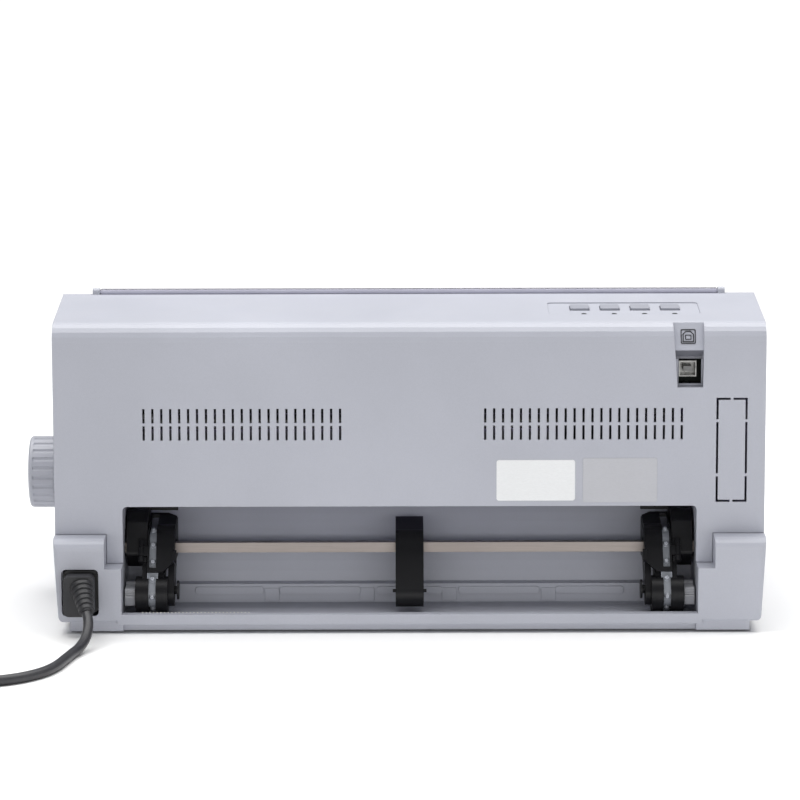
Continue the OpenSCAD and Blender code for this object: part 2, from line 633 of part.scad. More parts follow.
// A flanged bush in each side frame
module bush(y, z, r, bore) difference() {
    union() {
        bar(frame_x - 1.2, frame_x + frame_t + 0.8, y, z, r);
        bar(frame_x - 1.2, frame_x, y, z, r + 2);
    }
    bar(frame_x - 3, frame_x + 5, y, z, bore);
}
module platen_bushes() color(bronze) both() bush(platen_y, platen_z, journal_r + 3, journal_r + fit);
module tractor_bushes() color(bronze)
    both() bush(shaft_y, shaft_z, shaft_sq / 2 + 2.5, shaft_sq / 2 - 0.1 + fit);

module platen_gear() color(nylon) difference() {
    union() {
        side(gear([platen_y, platen_z], roll_teeth, platen_a), gear_x, gear_x + gear_w);
        bar(gear_x, gear_x + gear_w + 4, platen_y, platen_z, 8);
    }
    bar(gear_x - 1, gear_x + gear_w + 5, platen_y, platen_z, journal_r);
    bar(gear_x - 1, gear_x + 1.5, platen_y, platen_z, 13);
}

// The platen knob: a fluted grip with a domed face inside a rim
module knob() color(dark_grey) translate([half_w + 1, platen_y, platen_z]) rotate([0, 90, 0]) {
    r = knob_d / 2;
    h = knob_out - 1;
    difference() {
        rotate_extrude($fn = 96) polygon(concat([[journal_r, 0], [r - 5, 0], [r - 4, 5], [r - 0.6, 7]],
            [[r, 9], [r, h - 3]], arc([r - 2.2, h - 2.2], 2.2, 0, 90, 4),
            [[r - 3.6, h - 0.6]], arc([0, h - 40.4], 40, 59.5, 82, 5), [[journal_r, h - 0.8]]));
        // Flutes that end inside the smooth rim
        for (i = [0:23]) rotate(i * 15) translate([r + 1.3, 0, 8.5])
            cylinder(h = h - 8.5 - 3.4, r = 2.1, $fn = 24);
    }
    // The cap closes the bore over the shaft's end
    translate([0, 0, h - 8.5]) cylinder(h = 8, r = journal_r);
}

// Feed drive ---------------------------------------------------------------------------------

module feed_motor() color(steel) {
    c = pinion_at;
    half = 21;
    difference() {
        side(rounded([for (p = rect(-half, -half, half, half)) c + p], 5), frame_x - 34, frame_x);
        bar(frame_x - 20, frame_x + 1, c[0], c[1], 2.5 + fit);
        for (i = [0:3]) let(a = 45 + 90 * i)
            bar(frame_x - 4, frame_x + 1, c[0] + 24 * cos(a), c[1] + 24 * sin(a), 1.5);
    }
    difference() {
        bar(frame_x - 0.1, frame_x + frame_t, c[0], c[1], 11);
        bar(frame_x - 1, frame_x + 3, c[0], c[1], 2.5 + fit);
    }
}

module feed_pinion() color(steel) {
    side(gear(pinion_at, pinion_teeth, pinion_a), gear_x, gear_x + gear_w + 1);
    bar(frame_x - 19, gear_x + gear_w + 1, pinion_at[0], pinion_at[1], 2.5);
}

// The large gear between platen and tractor, with a web and five windows
module feed_gear() color(nylon) difference() {
    union() {
        side(gear(feed_at, feed_teeth, feed_a), gear_x, gear_x + gear_w);
        bar(gear_x, gear_x + gear_w + 1, feed_at[0], feed_at[1], 8);
    }
    bar(gear_x - 1, gear_x + gear_w + 2, feed_at[0], feed_at[1], 4 + fit);
    for (x = [gear_x - 1, gear_x + gear_w - 2]) difference() {
        bar(x, x + 3, feed_at[0], feed_at[1], feed_teeth / 2 - 4);
        bar(x - 1, x + 4, feed_at[0], feed_at[1], 8);
    }
    for (i = [0:4]) let(a = 72 * i) bar(gear_x - 1, gear_x + gear_w + 1,
        feed_at[0] + 18 * cos(a), feed_at[1] + 18 * sin(a), 6);
}

module tractor_gear() color(nylon) difference() {
    union() {
        side(gear([shaft_y, shaft_z], roll_teeth, tractor_a), gear_x, gear_x + gear_w);
        bar(gear_x, gear_x + gear_w + 2, shaft_y, shaft_z, 7);
    }
    bar(gear_x - 1, gear_x + gear_w + 3, shaft_y, shaft_z, shaft_sq / 2 - 0.1);
    bar(gear_x - 1, gear_x + 1.5, shaft_y, shaft_z, 13);
}

// Square between the frames, round where it turns in its bushes
module tractor_shaft() color([0.55, 0.51, 0.5]) {
    s = shaft_sq / 2;
    block([-frame_x + 2, shaft_y - s, shaft_z - s], [frame_x - 2, shaft_y + s, shaft_z + s]);
    bar(-frame_x - 4, gear_x + gear_w + 2, shaft_y, shaft_z, s - 0.1);
}

module tractor_rod() color(steel) bar(-frame_x - frame_t, frame_x + frame_t, rod_y, rod_z, rod_r);

// Tractors -----------------------------------------------------------------------------------
// Drawn at +X and mirrored for the left one. The belt runs from the drive hub on the square
// shaft down to a fixed idler; the lid's slot leaves room for the pins.

hub_journal = 6.5;
lid_in = 1.2;
lid_t = 2.5;
lid_x = [belt_x - 15, plate_out - gap];
lid_end = 12;
slot_hw = 2.4;
nose_r = idler_r + pin_h + 1.2;
lid_pivot_n = pitch_r + lid_in + lid_t / 2 + 0.4;
// The point at distance n from the hub's axis outwards and t along the run
function on_run(n, t) = [shaft_y, shaft_z] + n * run_n + t * run_t;
// The tangent strip between two circles of radius a at the hub and b at the idler
function strip(a, b) = let(h = [shaft_y, shaft_z], i = [idler_y, idler_z], u = idler_dir,
    v = [-u[1], u[0]]) [h + a * v, i + b * v, i - b * v, h - a * v];
// The loop's outline at offset o from the pitch line
function loop_line(o) = let(a = atan2(idler_dir[1], idler_dir[0]), w = acos(dr / idler_d))
    concat(arc([shaft_y, shaft_z], pitch_r + o, a + w, a + 360 - w, 24),
        arc([idler_y, idler_z], idler_r + o, a - w, a + w, 14));
// A point on the loop at length s, with its outward angle, from the run's lower end
function pin_at(s) = let(u = s % loop_l, w = acos(dr / idler_d), a = atan2(idler_dir[1], idler_dir[0]),
    hub_arc = (360 - 2 * w) * PI / 180 * pitch_r, idler_arc = 2 * w * PI / 180 * idler_r)
    u < run_l ? [on_run(pitch_r, run_l - u), run_a]
    : u < run_l + hub_arc ? let(b = run_a + (u - run_l) / pitch_r * 180 / PI)
        [[shaft_y, shaft_z] + pitch_r * [cos(b), sin(b)], b]
    : u < 2 * run_l + hub_arc ? let(b = a - w, t = u - run_l - hub_arc)
        [[shaft_y, shaft_z] + pitch_r * [cos(b), sin(b)] + t * [-sin(b), cos(b)], b]
    : let(b = a - w + (u - 2 * run_l - hub_arc) / idler_r * 180 / PI)
        [[idler_y, idler_z] + idler_r * [cos(b), sin(b)], b];

module tractor_frame() difference() {
    tongue = [[rod_y - 6, 68.2], [rod_y - 6, 55], [rod_y - 2, 43], [shaft_y, 42],
        [shaft_y, shaft_z + pitch_r - 1]];
    // The outer plate's outline from its lower front corner over the top to the run
    cheek = [[rod_y, 40.5], [rod_y - 6, 50], [rod_y - 8, 64], [rod_y - 11.5, 72],
        [rod_y - 11.5, 77.4], [shaft_y - 4, 77.4], [shaft_y + 6, 71.4], on_run(pitch_r + 0.4, 0)];
    union() {
        // Inner plate with the tongue that carries the paper's edge
        for (x = [tongue_x, [plate_in - 4, plate_in]]) {
            side(tongue, x[0], x[1]);
            bar(x[0], x[1], shaft_y, shaft_z, pitch_r - 0.8);
            bar(x[0], x[1], idler_y, idler_z, idler_r - 0.8);
            side(strip(pitch_r - 0.8, idler_r - 0.8), x[0], x[1]);
        }
        block([tongue_x[0], rod_y - 6, 62], [plate_in, rod_y + 4, 67]);
        bar(tongue_x[0], plate_in, rod_y, rod_z, rod_r + 3.5);
        bar(tongue_x[0], plate_in, idler_y, idler_z, 5);
        // A bar over the paper's path closes the unit's top
        block([tongue_x[0], rod_y - 11.4, 73], [plate_out + 1, rod_y - 7.6, 77.4]);
        // Outer plate, thick above where the lid hinges and thin beside the lever
        side(rounded(concat(cheek, [on_run(pitch_r + 0.4, run_l), [idler_y + 8, idler_z - 8],
            [idler_y - 2, idler_z - 10.5], [idler_y - 13, idler_z - 3]]), [3, 4, 3, 1, 1, 3, 3, 2, 3, 5, 4, 5]),
            plate_out, plate_out + 3);
        side(rounded(concat(cheek, [on_run(pitch_r - 2, 10), [shaft_y, 38]]), [3, 4, 3, 1, 1, 3, 3, 2, 3, 5]),
            plate_out + 2.9, bay_hw - 1.4);
        // The idler's fixed core and the web inside the loop join the plates
        bar(plate_in - 1, plate_out + 1, idler_y, idler_z, idler_r - belt_t - 0.3);
        side([on_run(5, pitch_r + 2.4), on_run(5, run_l - idler_r - 2), on_run(-3, run_l - idler_r - 2),
            on_run(-6, pitch_r + 2.4)], plate_in - 1, plate_out + 1);
        // The nose: a drum round the idler, slotted for the pins, that the belt runs in below
        difference() {
            bar(tongue_x[1], lever_x[0] - gap, idler_y, idler_z, nose_r);
            bar(plate_in, plate_out, idler_y, idler_z, idler_r + pin_h - 0.2);
            bar(belt_x - slot_hw - 0.1, belt_x + slot_hw + 0.1, idler_y, idler_z, nose_r + 1);
            side([for (p = rect(-30, -20, pitch_r + gap, 0)) on_run(p[0], run_l + p[1])],
                plate_in, plate_out);
        }
        // A thin flange on the inner side keeps the unused paper edge away
        bar(tongue_x[0] - 3.2, tongue_x[0] - 1.8, idler_y, idler_z + 3, 6.6);
        bar(tongue_x[0] - 3.2, tongue_x[1], idler_y, idler_z + 3, 3);
        // Hinge knuckles of the lid
        for (k = [0, 2]) {
            hinge_bar(hinge_t[k], hinge_t[k + 1], 2);
            side([on_run(pitch_r - 1, hinge_t[k]), on_run(lid_pivot_n, hinge_t[k]),
                on_run(lid_pivot_n, hinge_t[k + 1]), on_run(pitch_r - 1, hinge_t[k + 1])],
                plate_out + 0.2, hinge_x + 1.5);
        }
        // The lever's pin
        bar(plate_out + 2.9, lever_x[1], lever_at[0], lever_at[1], 2);
    }
    bar(bay_hw - 40, bay_hw, shaft_y, shaft_z, hub_journal + fit);
    bar(plate_in, plate_out, shaft_y, shaft_z, pitch_r + pin_h + 1);
    bar(bay_hw - 40, bay_hw, rod_y, rod_z, rod_r + fit);
    hinge_bar(-1, 30, 1 + fit);
    // Grooves that lighten the outer face
    bar(bay_hw - 2.2, bay_hw, rod_y + 8, 60, 2.5);
}

// A bar along the lid's hinge axis, from t0 to t1
hinge_x = belt_x + 8;
hinge_t = [0.5, 5, 13, 17];
module hinge_bar(t0, t1, r) translate([hinge_x, on_run(lid_pivot_n, t0)[0], on_run(lid_pivot_n, t0)[1]])
    rotate([run_a - 180, 0, 0]) cylinder(h = t1 - t0, r = r);

module tractor_lid_part() {
    o = pitch_r + lid_in;
    i = o + lid_t;
    front = [rod_y - 5, shaft_z + o + 3.8];
    line = concat([front + [0, lid_t]], arc([shaft_y, shaft_z], i, 100, run_a, 7),
        [on_run(i, run_l - lid_end), on_run(o, run_l - lid_end)], arc([shaft_y, shaft_z], o, run_a, 100, 7), [front]);
    difference() {
        union() {
            side(line, lid_x[0], lid_x[1]);
            // The lid's own knuckle between the frame's two
            hinge_bar(hinge_t[1] + gap, hinge_t[2] - gap, 2);
            side([on_run(o, hinge_t[1] + gap), on_run(i, hinge_t[1] + gap),
                on_run(i, hinge_t[2] - gap), on_run(o, hinge_t[2] - gap)], lid_x[1] - 1, hinge_x);
            // The finger lip on the inner edge
            side([on_run(i - 1, 8), on_run(i + 1.6, 10), on_run(i + 1.6, 18), on_run(i - 1, 20)],
                lid_x[0] - 1.5, lid_x[0] + 1.5);
        }
        // The slot for the pins, from over the hub to the lower end
        side([[rod_y - 2, shaft_z + 8], [rod_y - 2, shaft_z + 30], on_run(i + 20, -6),
            on_run(i + 6, run_l - lid_end - 3), on_run(o - 6, run_l - lid_end - 3),
            on_run(o - 12, 4)], belt_x - slot_hw, belt_x + slot_hw);
        // The chamfered inner corners
        translate([lid_x[0], front[0], front[1]]) rotate([0, 0, 45]) cube([9, 9, 30], center = true);
        translate([lid_x[0], on_run(o, run_l - lid_end)[0], on_run(o, run_l - lid_end)[1]])
            rotate([run_a - 90, 0, 0]) rotate(45) cube([11, 11, 12], center = true);
    }
    hinge_bar(hinge_t[0] + 0.2, hinge_t[3] - 0.2, 1);
}

module hub_part() difference() {
    union() {
        bar(plate_in + gap, plate_out - gap, shaft_y, shaft_z, pitch_r - belt_t - 0.3);
        bar(plate_in - 4.6, bay_hw - 1.2, shaft_y, shaft_z, hub_journal);
    }
    s = shaft_sq / 2 + fit;
    block([bay_hw - 60, shaft_y - s, shaft_z - s], [bay_hw + 1, shaft_y + s, shaft_z + s]);
    for (i = [0:hub_pins - 1]) let(a = 360 / hub_pins * i)
        bar(plate_in - 1, plate_out + 1, shaft_y + (pitch_r - belt_t) * cos(a),
            shaft_z + (pitch_r - belt_t) * sin(a), 1.6);
}

module belt_part() {
    difference() {
        side(loop_line(0), belt_x - belt_hw, belt_x + belt_hw);
        side(loop_line(-belt_t), belt_x - belt_hw - 1, belt_x + belt_hw + 1);
    }
    for (i = [0:belt_pins - 1]) let(p = pin_at((i + 0.6) * pin_pitch))
        translate([belt_x, p[0][0], p[0][1]]) rotate([p[1] - 90, 0, 0]) {
            translate([0, 0, -0.3]) cylinder(h = 0.3 + pin_h * 0.45, r = pin_r, $fn = 24);
            translate([0, 0, pin_h * 0.45]) cylinder(h = pin_h * 0.55, r1 = pin_r, r2 = pin_r * 0.55, $fn = 24);
        }
}

// The grey lock lever turns on a pin beside the nose
lever_at = [idler_y - 8, idler_z + 3.5];
module lever_part() {
    x = lever_x;
    difference() {
        union() {
            bar(x[0], x[1], lever_at[0], lever_at[1], 4.4);
            side(rounded([lever_at + [-2, 4], lever_at + [-2, -4], lever_at + [11, -10.5],
                lever_at + [16, -10], lever_at + [17, -3.8], lever_at + [15.8, 2],
                lever_at + [12, 2.3], lever_at + [9, 1.5]], [1, 1, 2, 1, 0.5, 1, 1, 2]), x[0], x[1]);
        }
        bar(x[0] - 1, x[1] + 1, lever_at[0], lever_at[1], 2 + fit);
        for (i = [0:2]) side([for (p = rect(0, 0, 2, 0.8)) lever_at + [15.9, -2.9 + 1.6 * i] + p],
            x[0] - 1, x[1] + 1);
    }
}

module tractor_right() color(black) tractor_frame();
module tractor_right_lid() color(black) tractor_lid_part();
module tractor_right_hub() color(dark_grey) hub_part();
module tractor_right_belt() color(nylon) belt_part();
module tractor_right_lever() color(steel) lever_part();
module tractor_left() color(black) mirror([1, 0, 0]) tractor_frame();
module tractor_left_lid() color(black) mirror([1, 0, 0]) tractor_lid_part();
module tractor_left_hub() color(dark_grey) mirror([1, 0, 0]) hub_part();
module tractor_left_belt() color(nylon) mirror([1, 0, 0]) belt_part();
module tractor_left_lever() color(steel) mirror([1, 0, 0]) lever_part();

// The black support that carries the paper's middle, riding on shaft and rod
module centre_support() color(black) {
    hw = 9.75;
    difference() {
        union() {
            bar(-hw, hw, shaft_y, shaft_z, pitch_r);
            bar(-hw, hw, idler_y, idler_z, idler_r);
            side(strip(pitch_r, idler_r), -hw, hw);
            side([[rod_y - 6, 68.6], [rod_y - 6, 55], [rod_y - 2, 43], [shaft_y, 43],
                [shaft_y, shaft_z + pitch_r]], -hw, hw);
            for (s = [-1, 1]) bar(s > 0 ? hw - 0.1 : -hw - 2, s > 0 ? hw + 2 : -hw + 0.1,
                idler_y + 4, idler_z + 3, 1.2);
        }
        bar(-hw - 1, hw + 1, shaft_y, shaft_z, shaft_sq / 2 * sqrt(2) + gap);
        bar(-hw - 1, hw + 1, rod_y, rod_z, rod_r + fit);
        // A hollow from below leaves the walls of a moulding
        side([on_run(-3, 13), on_run(2, run_l - 6), on_run(-6, run_l - 6), on_run(-14, 13)],
            -hw + 2, hw - 2);
    }
}

// Carriage -----------------------------------------------------------------------------------

crod_y = platen_y + 42;
crod_z = 134;
rail_y = platen_y - 50;
belt_z = 150;
cbelt_y = crod_y + 34;
home_x = -140;
motor_cx = -frame_x + 27;
idler_cx = frame_x - 22;

module carriage_rod() color(steel) bar(-frame_x - frame_t, frame_x + frame_t, crod_y, crod_z, rail_r);

// The front rail is a bent steel channel between the frames
module carriage_rail() color(steel) difference() {
    block([-frame_x, rail_y - 8, 116], [frame_x, rail_y + 4, 131]);
    block([-frame_x - 1, rail_y - 9, 117.6], [frame_x + 1, rail_y + 2.4, 132]);
}

module carriage() color(dark_grey) translate([home_x, 0, 0]) {
    hw = carriage_w / 2;
    difference() {
        union() {
            side(rounded([[crod_y - 12, 118], [crod_y + 12, 120], [crod_y + 12, 146],
                [crod_y - 8, 148], [crod_y - 12, 140]], 4), -hw, hw);
            side(rounded([[rail_y + 7, 118], [crod_y - 8, 118], [crod_y - 8, 124],
                [rail_y + 7, 124]], 1), -hw, hw);
            // The shoe that slides on the rail's upper edge
            block([-hw + 6, rail_y - 3, 131 + 0.3], [hw - 6, rail_y + 12, 134.5]);
            for (x = [-hw + 6, hw - 10]) block([x, rail_y + 7, 120], [x + 4, rail_y + 12, 134]);
            // The clamp round the belt's front run
            block([-9, crod_y + 8, 138], [9, cbelt_y - pulley_r + 3, 146]);
            block([-9, cbelt_y - pulley_r - 4.5, 138], [9, cbelt_y - pulley_r - 2.2, belt_z + 6]);
            block([-9, cbelt_y - pulley_r + 1, 138], [9, cbelt_y - pulley_r + 3, belt_z + 6]);
        }
        bar(-hw - 1, hw + 1, crod_y, crod_z, rail_r + fit);
        block([-24.4, platen_y - 22.4, 110], [24.4, platen_y + 22.4, 130]);
    }
}

// The head: a finned block with a narrow nose over the platen
module print_head() color(black) translate([home_x, platen_y, 0]) {
    hw = 24;
    nose_z = platen_z + platen_r + 1.4;
    block([-hw, -22, 116], [hw, 22, 130]);
    for (i = [0:7]) block([-hw, -22, 131.5 + 4 * i], [hw, 22, 133.5 + 4 * i]);
    post(0, 0, 129, 165, 15);
    side(rounded([[-14, 116.1], [-4, nose_z], [4, nose_z], [14, 116.1]], [0, 1, 1, 0]), -6, 6);
    // Ears that lie on the carriage's platform
    for (s = [-1, 1]) block([s > 0 ? hw - 0.1 : -hw - 6, -8, 124], [s > 0 ? hw + 6 : -hw + 0.1, 8, 126]);
}

module carriage_belt() color(black) {
    r = pulley_r + 0.3;
    difference() {
        loop(r + 1.2, belt_z - 4, belt_z + 4);
        loop(r, belt_z - 5, belt_z + 5);
    }
}
module loop(r, z0, z1) plan(concat(arc([idler_cx, cbelt_y], r, -90, 90, 16),
    arc([motor_cx, cbelt_y], r, 90, 270, 16)), z0, z1);

module carriage_motor() color(steel) {
    difference() {
        plan(rounded(rect(motor_cx - 21, cbelt_y - 21, motor_cx + 21, cbelt_y + 21), 5), 108, 142);
        post(motor_cx, cbelt_y, 120, 143, 2.5 + fit);
    }
    // The bracket reaches out to the side frame
    difference() {
        block([-frame_x, cbelt_y - 21, 142], [motor_cx + 21, cbelt_y + 10, 143.6]);
        post(motor_cx, cbelt_y, 141, 145, 6);
    }
}

module pulley(x, z0, bore) difference() {
    union() {
        post(x, cbelt_y, belt_z - 4.4, belt_z + 4.4, pulley_r);
        post(x, cbelt_y, belt_z + 4.4, belt_z + 5.6, pulley_r + 2);
        post(x, cbelt_y, z0, belt_z - 4.4, pulley_r + 2);
    }
    if (bore > 0) post(x, cbelt_y, z0 - 1, belt_z + 7, bore);
}
module motor_pulley() color(steel) {
    pulley(motor_cx, belt_z - 5.4, 0);
    post(motor_cx, cbelt_y, 121, belt_z - 5, 2.5);
}
// The idler's bracket and stud stand on the right side frame
module belt_idler() color(nylon) pulley(idler_cx, belt_z - 5.4, 3 + fit);

cart_y = [rail_y - 76, rail_y - 14];
cart_z = 113;
module ribbon_cartridge() color(black) {
    hw = frame_x - 1;
    ky = cart_y[0] + 28;
    difference() {
        union() {
            plan(rounded(rect(-hw, cart_y[0], hw, cart_y[1]), 10), cart_z, cart_z + 15);
            // The arms reach over the platen's ends, below the carriage rail
            both() side([[cart_y[1] - 2, cart_z], [platen_y + 14, cart_z - 5],
                [platen_y + 14, cart_z], [cart_y[1] - 2, cart_z + 2.6]], hw - 12, hw);
        }
        post(-150, ky, cart_z + 8, cart_z + 16, 3 + fit);
    }
    // The inked ribbon between the arms, over the platen
    block([-hw + 11.8, platen_y - 6.5, platen_z + platen_r + 0.5],
        [hw - 11.8, platen_y + 6.5, platen_z + platen_r + 0.8]);
    both() block([hw - 12.1, platen_y - 6.5, platen_z + platen_r + 0.5],
        [hw - 11.8, platen_y + 6.5, cart_z - 2]);
}
module ribbon_knob() color(dark_grey) {
    ky = cart_y[0] + 28;
    difference() {
        post(-150, ky, cart_z + 15.3, cart_z + 20, 10);
        for (i = [0:11]) rotate_about(-150, ky, i * 30) post(-150 + 10.6, ky, cart_z + 16.5, cart_z + 21, 1.5);
    }
    post(-150, ky, cart_z + 8.3, cart_z + 16, 3);
}
module rotate_about(x, y, a) translate([x, y, 0]) rotate(a) translate([-x, -y, 0]) children();

// Controls and electronics -------------------------------------------------------------------

module panel_board() on_roof(button_y) {
    color(board_green) translate([panel_x[1] - 1, panel_y[0] - button_y - 2, -9.62])
        cube([panel_x[0] - panel_x[1] + 2, panel_y[1] - panel_y[0] + 3, 1.6]);
    for (i = [0:3]) {
        color(black) translate([button_x(i), 0, -7.3]) cube([6, 6, 1.6], center = true);
        color(nylon) translate([button_x(i), 0, -6.6]) cylinder(h = 0.7, r = 1.6);
        color("limegreen") translate([button_x(i) - 2.5, led_y - button_y, -8.1]) cylinder(h = 7.6, r = lamp_r - 0.3);
    }
}

// A button: a cap with a retaining flange below the roof
module button(i) color(case_grey) on_roof(button_y) translate([button_x(i), 0, 0]) {
    w = button_w;
    translate([-w / 2, -w / 2 + 0.5, -4.6]) linear_extrude(5.3) polygon(rounded(rect(0, 0, w, w - 1), 1.2));
    translate([-w / 2 - 1.2, -w / 2 - 0.7, -4.6]) cube([w + 2.4, w + 1.4, 1.1]);
}
module button_1() button(0);
module button_2() button(1);
module button_3() button(2);
module button_4() button(3);

module main_board() {
    color(board_green) difference() {
        block([-190, -136, 20], [32, -2, 21.6]);
        post(-60, -30, 19, 23, 2);
    }
    color(black) for (c = [[-150, -100, 24, 24, 3], [-100, -100, 30, 30, 3.5], [-40, -104, 14, 30, 3],
        [-150, -50, 18, 36, 3], [-10, -60, 12, 30, 8]])
        block([c[0], c[1], 21.5], [c[0] + c[2], c[1] + c[3], 21.6 + c[4]]);
    color(nylon) for (x = [-120, -80, 0]) block([x, -16, 21.5], [x + 24, -8, 29]);
    color(steel) block([-60, -60, 21.5], [-30, -50, 44]);
}

module usb_socket() {
    y = rear_y - usb_depth - 16;
    color(steel) difference() {
        block([usb_x - 6, y, 174.4], [usb_x + 6, rear_y - usb_depth - 0.4, 185.4]);
        block([usb_x - 5.3, y + 2, 175.1], [usb_x + 5.3, rear_y, 184.7]);
    }
    color(nylon) block([usb_x - 2.8, y + 1.5, 178.2], [usb_x + 2.8, rear_y - usb_depth - 2, 181.4]);
    color(board_green) block([usb_x - 14, y - 1.6, 150], [usb_x + 14, y, 196]);
    // Spacers up to the recess hold the board
    color(nylon) for (z = [166.8, 193]) translate([usb_x, y - 0.1, z]) rotate([-90, 0, 0])
        cylinder(h = 14.1, r = 2.4);
}

module power_supply() {
    color(board_green) block([64, -136, 20], [180, -30, 21.6]);
    color(steel) block([70, -130, 21.5], [76, -40, 58]);
    color([0.75, 0.65, 0.2]) block([100, -100, 21.5], [138, -62, 54]);
    color(black) for (p = [[92, -122, 9], [118, -122, 11], [160, -50, 8]]) post(p[0], p[1], 21.5, 52, p[2]);
    color(nylon) block([152, -126, 21.5], [174, -110, 34]);
}

// The appliance inlet behind its hole in the shoulder
module power_inlet() color(black) {
    y1 = half_d - wall - 0.3;
    c = [inlet_x, inlet_z];
    difference() {
        union() {
            across(rounded(rect(c[0] - 12, c[1] - 14.8, c[0] + 11.7, c[1] + 14.8), 3), y1 - 22, y1 - 1);
            // It is clipped to the inside of the shoulder's wall
            block([c[0] - 12.6, y1 - 3, c[1] - 12], [c[0] + 11.7, y1, c[1] + 12]);
        }
        across(rounded(rect(c[0] - 9.6, c[1] - 12.4, c[0] + 9.6, c[1] + 12.4), 3), y1 - 18, y1 + 2);
    }
    color(steel) for (z = [-6, 0, 6]) block([c[0] - 1 + (z == 0 ? 3 : -2), y1 - 18.2, c[1] + z - 1],
        [c[0] + 1 + (z == 0 ? 3 : -2), y1 - 4, c[1] + z + 1]);
}

// A rocker that tips about its middle, and its frame in the front wall
switch_hole = [14, 20];
switch_pin = 1.5;
rocker = [switch_hole[0] - 2.4, switch_hole[1] - 2.8];
module power_switch() color(black) {
    y = -half_d;
    h = rocker[1] / 2;
    difference() {
        side(rounded([[y - 1.6, switch_z - h], [y + 4.5, switch_z - h], [y + 7, switch_z - 2],
            [y + 7, switch_z + 2], [y + 4.5, switch_z + h], [y + 0.6, switch_z + h],
            [y + 0.2, switch_z]], [1, 1, 1, 1, 1, 0.6, 0]),
            switch_x - rocker[0] / 2, switch_x + rocker[0] / 2);
        bar(switch_x - 7, switch_x + 7, y + 4, switch_z, switch_pin + fit);
    }
}

module switch_frame() color(black) {
    y = -half_d;
    w = switch_hole[0] / 2;
    h = switch_hole[1] / 2;
    difference() {
        union() {
            across(rect(switch_x - w, switch_z - h, switch_x + w, switch_z + h), y, y + 14);
            across(rounded(rect(switch_x - w - 1.5, switch_z - h - 1.5, switch_x + w + 1.5,
                switch_z + h + 1.5), 1), y - 1, y);
        }
        across(rect(switch_x - w + 0.8, switch_z - h + 0.8, switch_x + w - 0.8, switch_z + h - 0.8),
            y - 2, y + 12.5);
    }
    bar(switch_x - w + 0.7, switch_x + w - 0.7, y + 4, switch_z, switch_pin);
}

// Mains lead ---------------------------------------------------------------------------------

// The route's free stretch, chosen by hand, and the coil's middle
route = [[220.3, 206, 21.2], [218.9, 211.5, 17.2], [218.6, 218.5, 12.6], [220, 228, 7.7],
    [223.2, 239, 4.5], [226.8, 251, 3.5], [230.3, 269, 3.5], [234.4, 288, 3.5], [242, 305, 3.5],
    [255, 319.5, 3.5], [271, 328, 3.5], [290, 331.5, 3.5], [310, 332, 3.5], [332, 332, 3.5],
    [340, 332, 3.5]];
coil_r = 52.5;
coil_mid = [340, 332 - coil_r];
coil_turns = 6.25;

module inlet_plug() color(black) {
    y0 = half_d - wall - 0.3 - 17;
    c = [inlet_x, inlet_z];
    difference() {
        across(rounded(rect(c[0] - 9.3, c[1] - 12.1, c[0] + 9.3, c[1] + 12.1), 2.6), y0 + 0.3, half_d + 6);
        for (z = [-6, 0, 6]) block([c[0] - 1.4 + (z == 0 ? 3 : -2), y0 - 1, c[1] + z - 1.4],
            [c[0] + 1.4 + (z == 0 ? 3 : -2), y0 + 15.2, c[1] + z + 1.4]);
    }
    // The wider grip behind the wall
    across(rounded(rect(c[0] - 10.6, c[1] - 14, c[0] + 10.6, c[1] + 14), 4), half_d + 1, half_d + 14);
    // The strain relief tapers in steps towards the cord, along the cord's first stretch
    let(d = route[0] - route[1]) translate(route[0])
        rotate([0, acos(d[2] / norm(d)), atan2(d[1], d[0])]) rotate_extrude()
        polygon(concat([[0, 0]], [for (i = [0:relief_ribs - 1]) let(z = i * relief_l / relief_ribs,
            r = cord_d / 2 + 0.7 + 3.6 * i / relief_ribs) each [[r, z], [r, z + 1.3],
            [r + 0.9, z + 1.5], [r + 1.1, z + relief_l / relief_ribs]]], [[0, relief_l]]));
}
relief_l = 24;
relief_ribs = 6;

// A tube of n sides along the points p, its end faces square to its ends
function tube_points(p, r, n) = let(k = len(p)) [for (i = [0:k - 1])
    let(t = unit(p[min(i + 1, k - 1)] - p[max(i - 1, 0)]), u = unit(cross([0, 0, 1], t)), v = cross(t, u))
    each [for (j = [0:n - 1]) p[i] + r * (cos(360 * j / n) * u + sin(360 * j / n) * v)]];
function tube_faces(k, n) = concat([[for (j = [n - 1:-1:0]) j]],
    [for (i = [0:k - 2], j = [0:n - 1]) let(a = i * n + j, b = i * n + (j + 1) % n)
        each [[a, b, b + n], [a, b + n, a + n]]], [[for (j = [0:n - 1]) (k - 1) * n + j]]);
module tube(p, r, n) polyhedron(tube_points(p, r, n), tube_faces(len(p), n), convexity = 8);

module cord_run() color(dark_grey) tube(route, cord_d / 2, 8);

// The coil winds in for half its turns, climbs a layer where it reverses, and winds out again
coil_step = 24;
coil_half = coil_turns / 2;
coil_low = cord_d / 2;
function coil_point(u) = let(r = coil_r - coil_pitch * (coil_half - abs(u - coil_half)),
    climb = min(1, max(0, (u - coil_half + 0.25) / 0.5)), a = 90 - 360 * u)
    [coil_mid[0] + r * cos(a), coil_mid[1] + r * sin(a),
    coil_low + coil_pitch * (3 * climb * climb - 2 * climb * climb * climb)];
tail_l = 45;
tail_end = coil_point(coil_turns) + [0, -tail_l, 0];
coil_line = concat([route[len(route) - 1], route[len(route) - 1] + [cord_d, 0, 0]],
    [for (i = [1:coil_turns * coil_step]) if (i > 1) coil_point(i / coil_step)],
    [tail_end + [0, cord_d, 0], tail_end]);
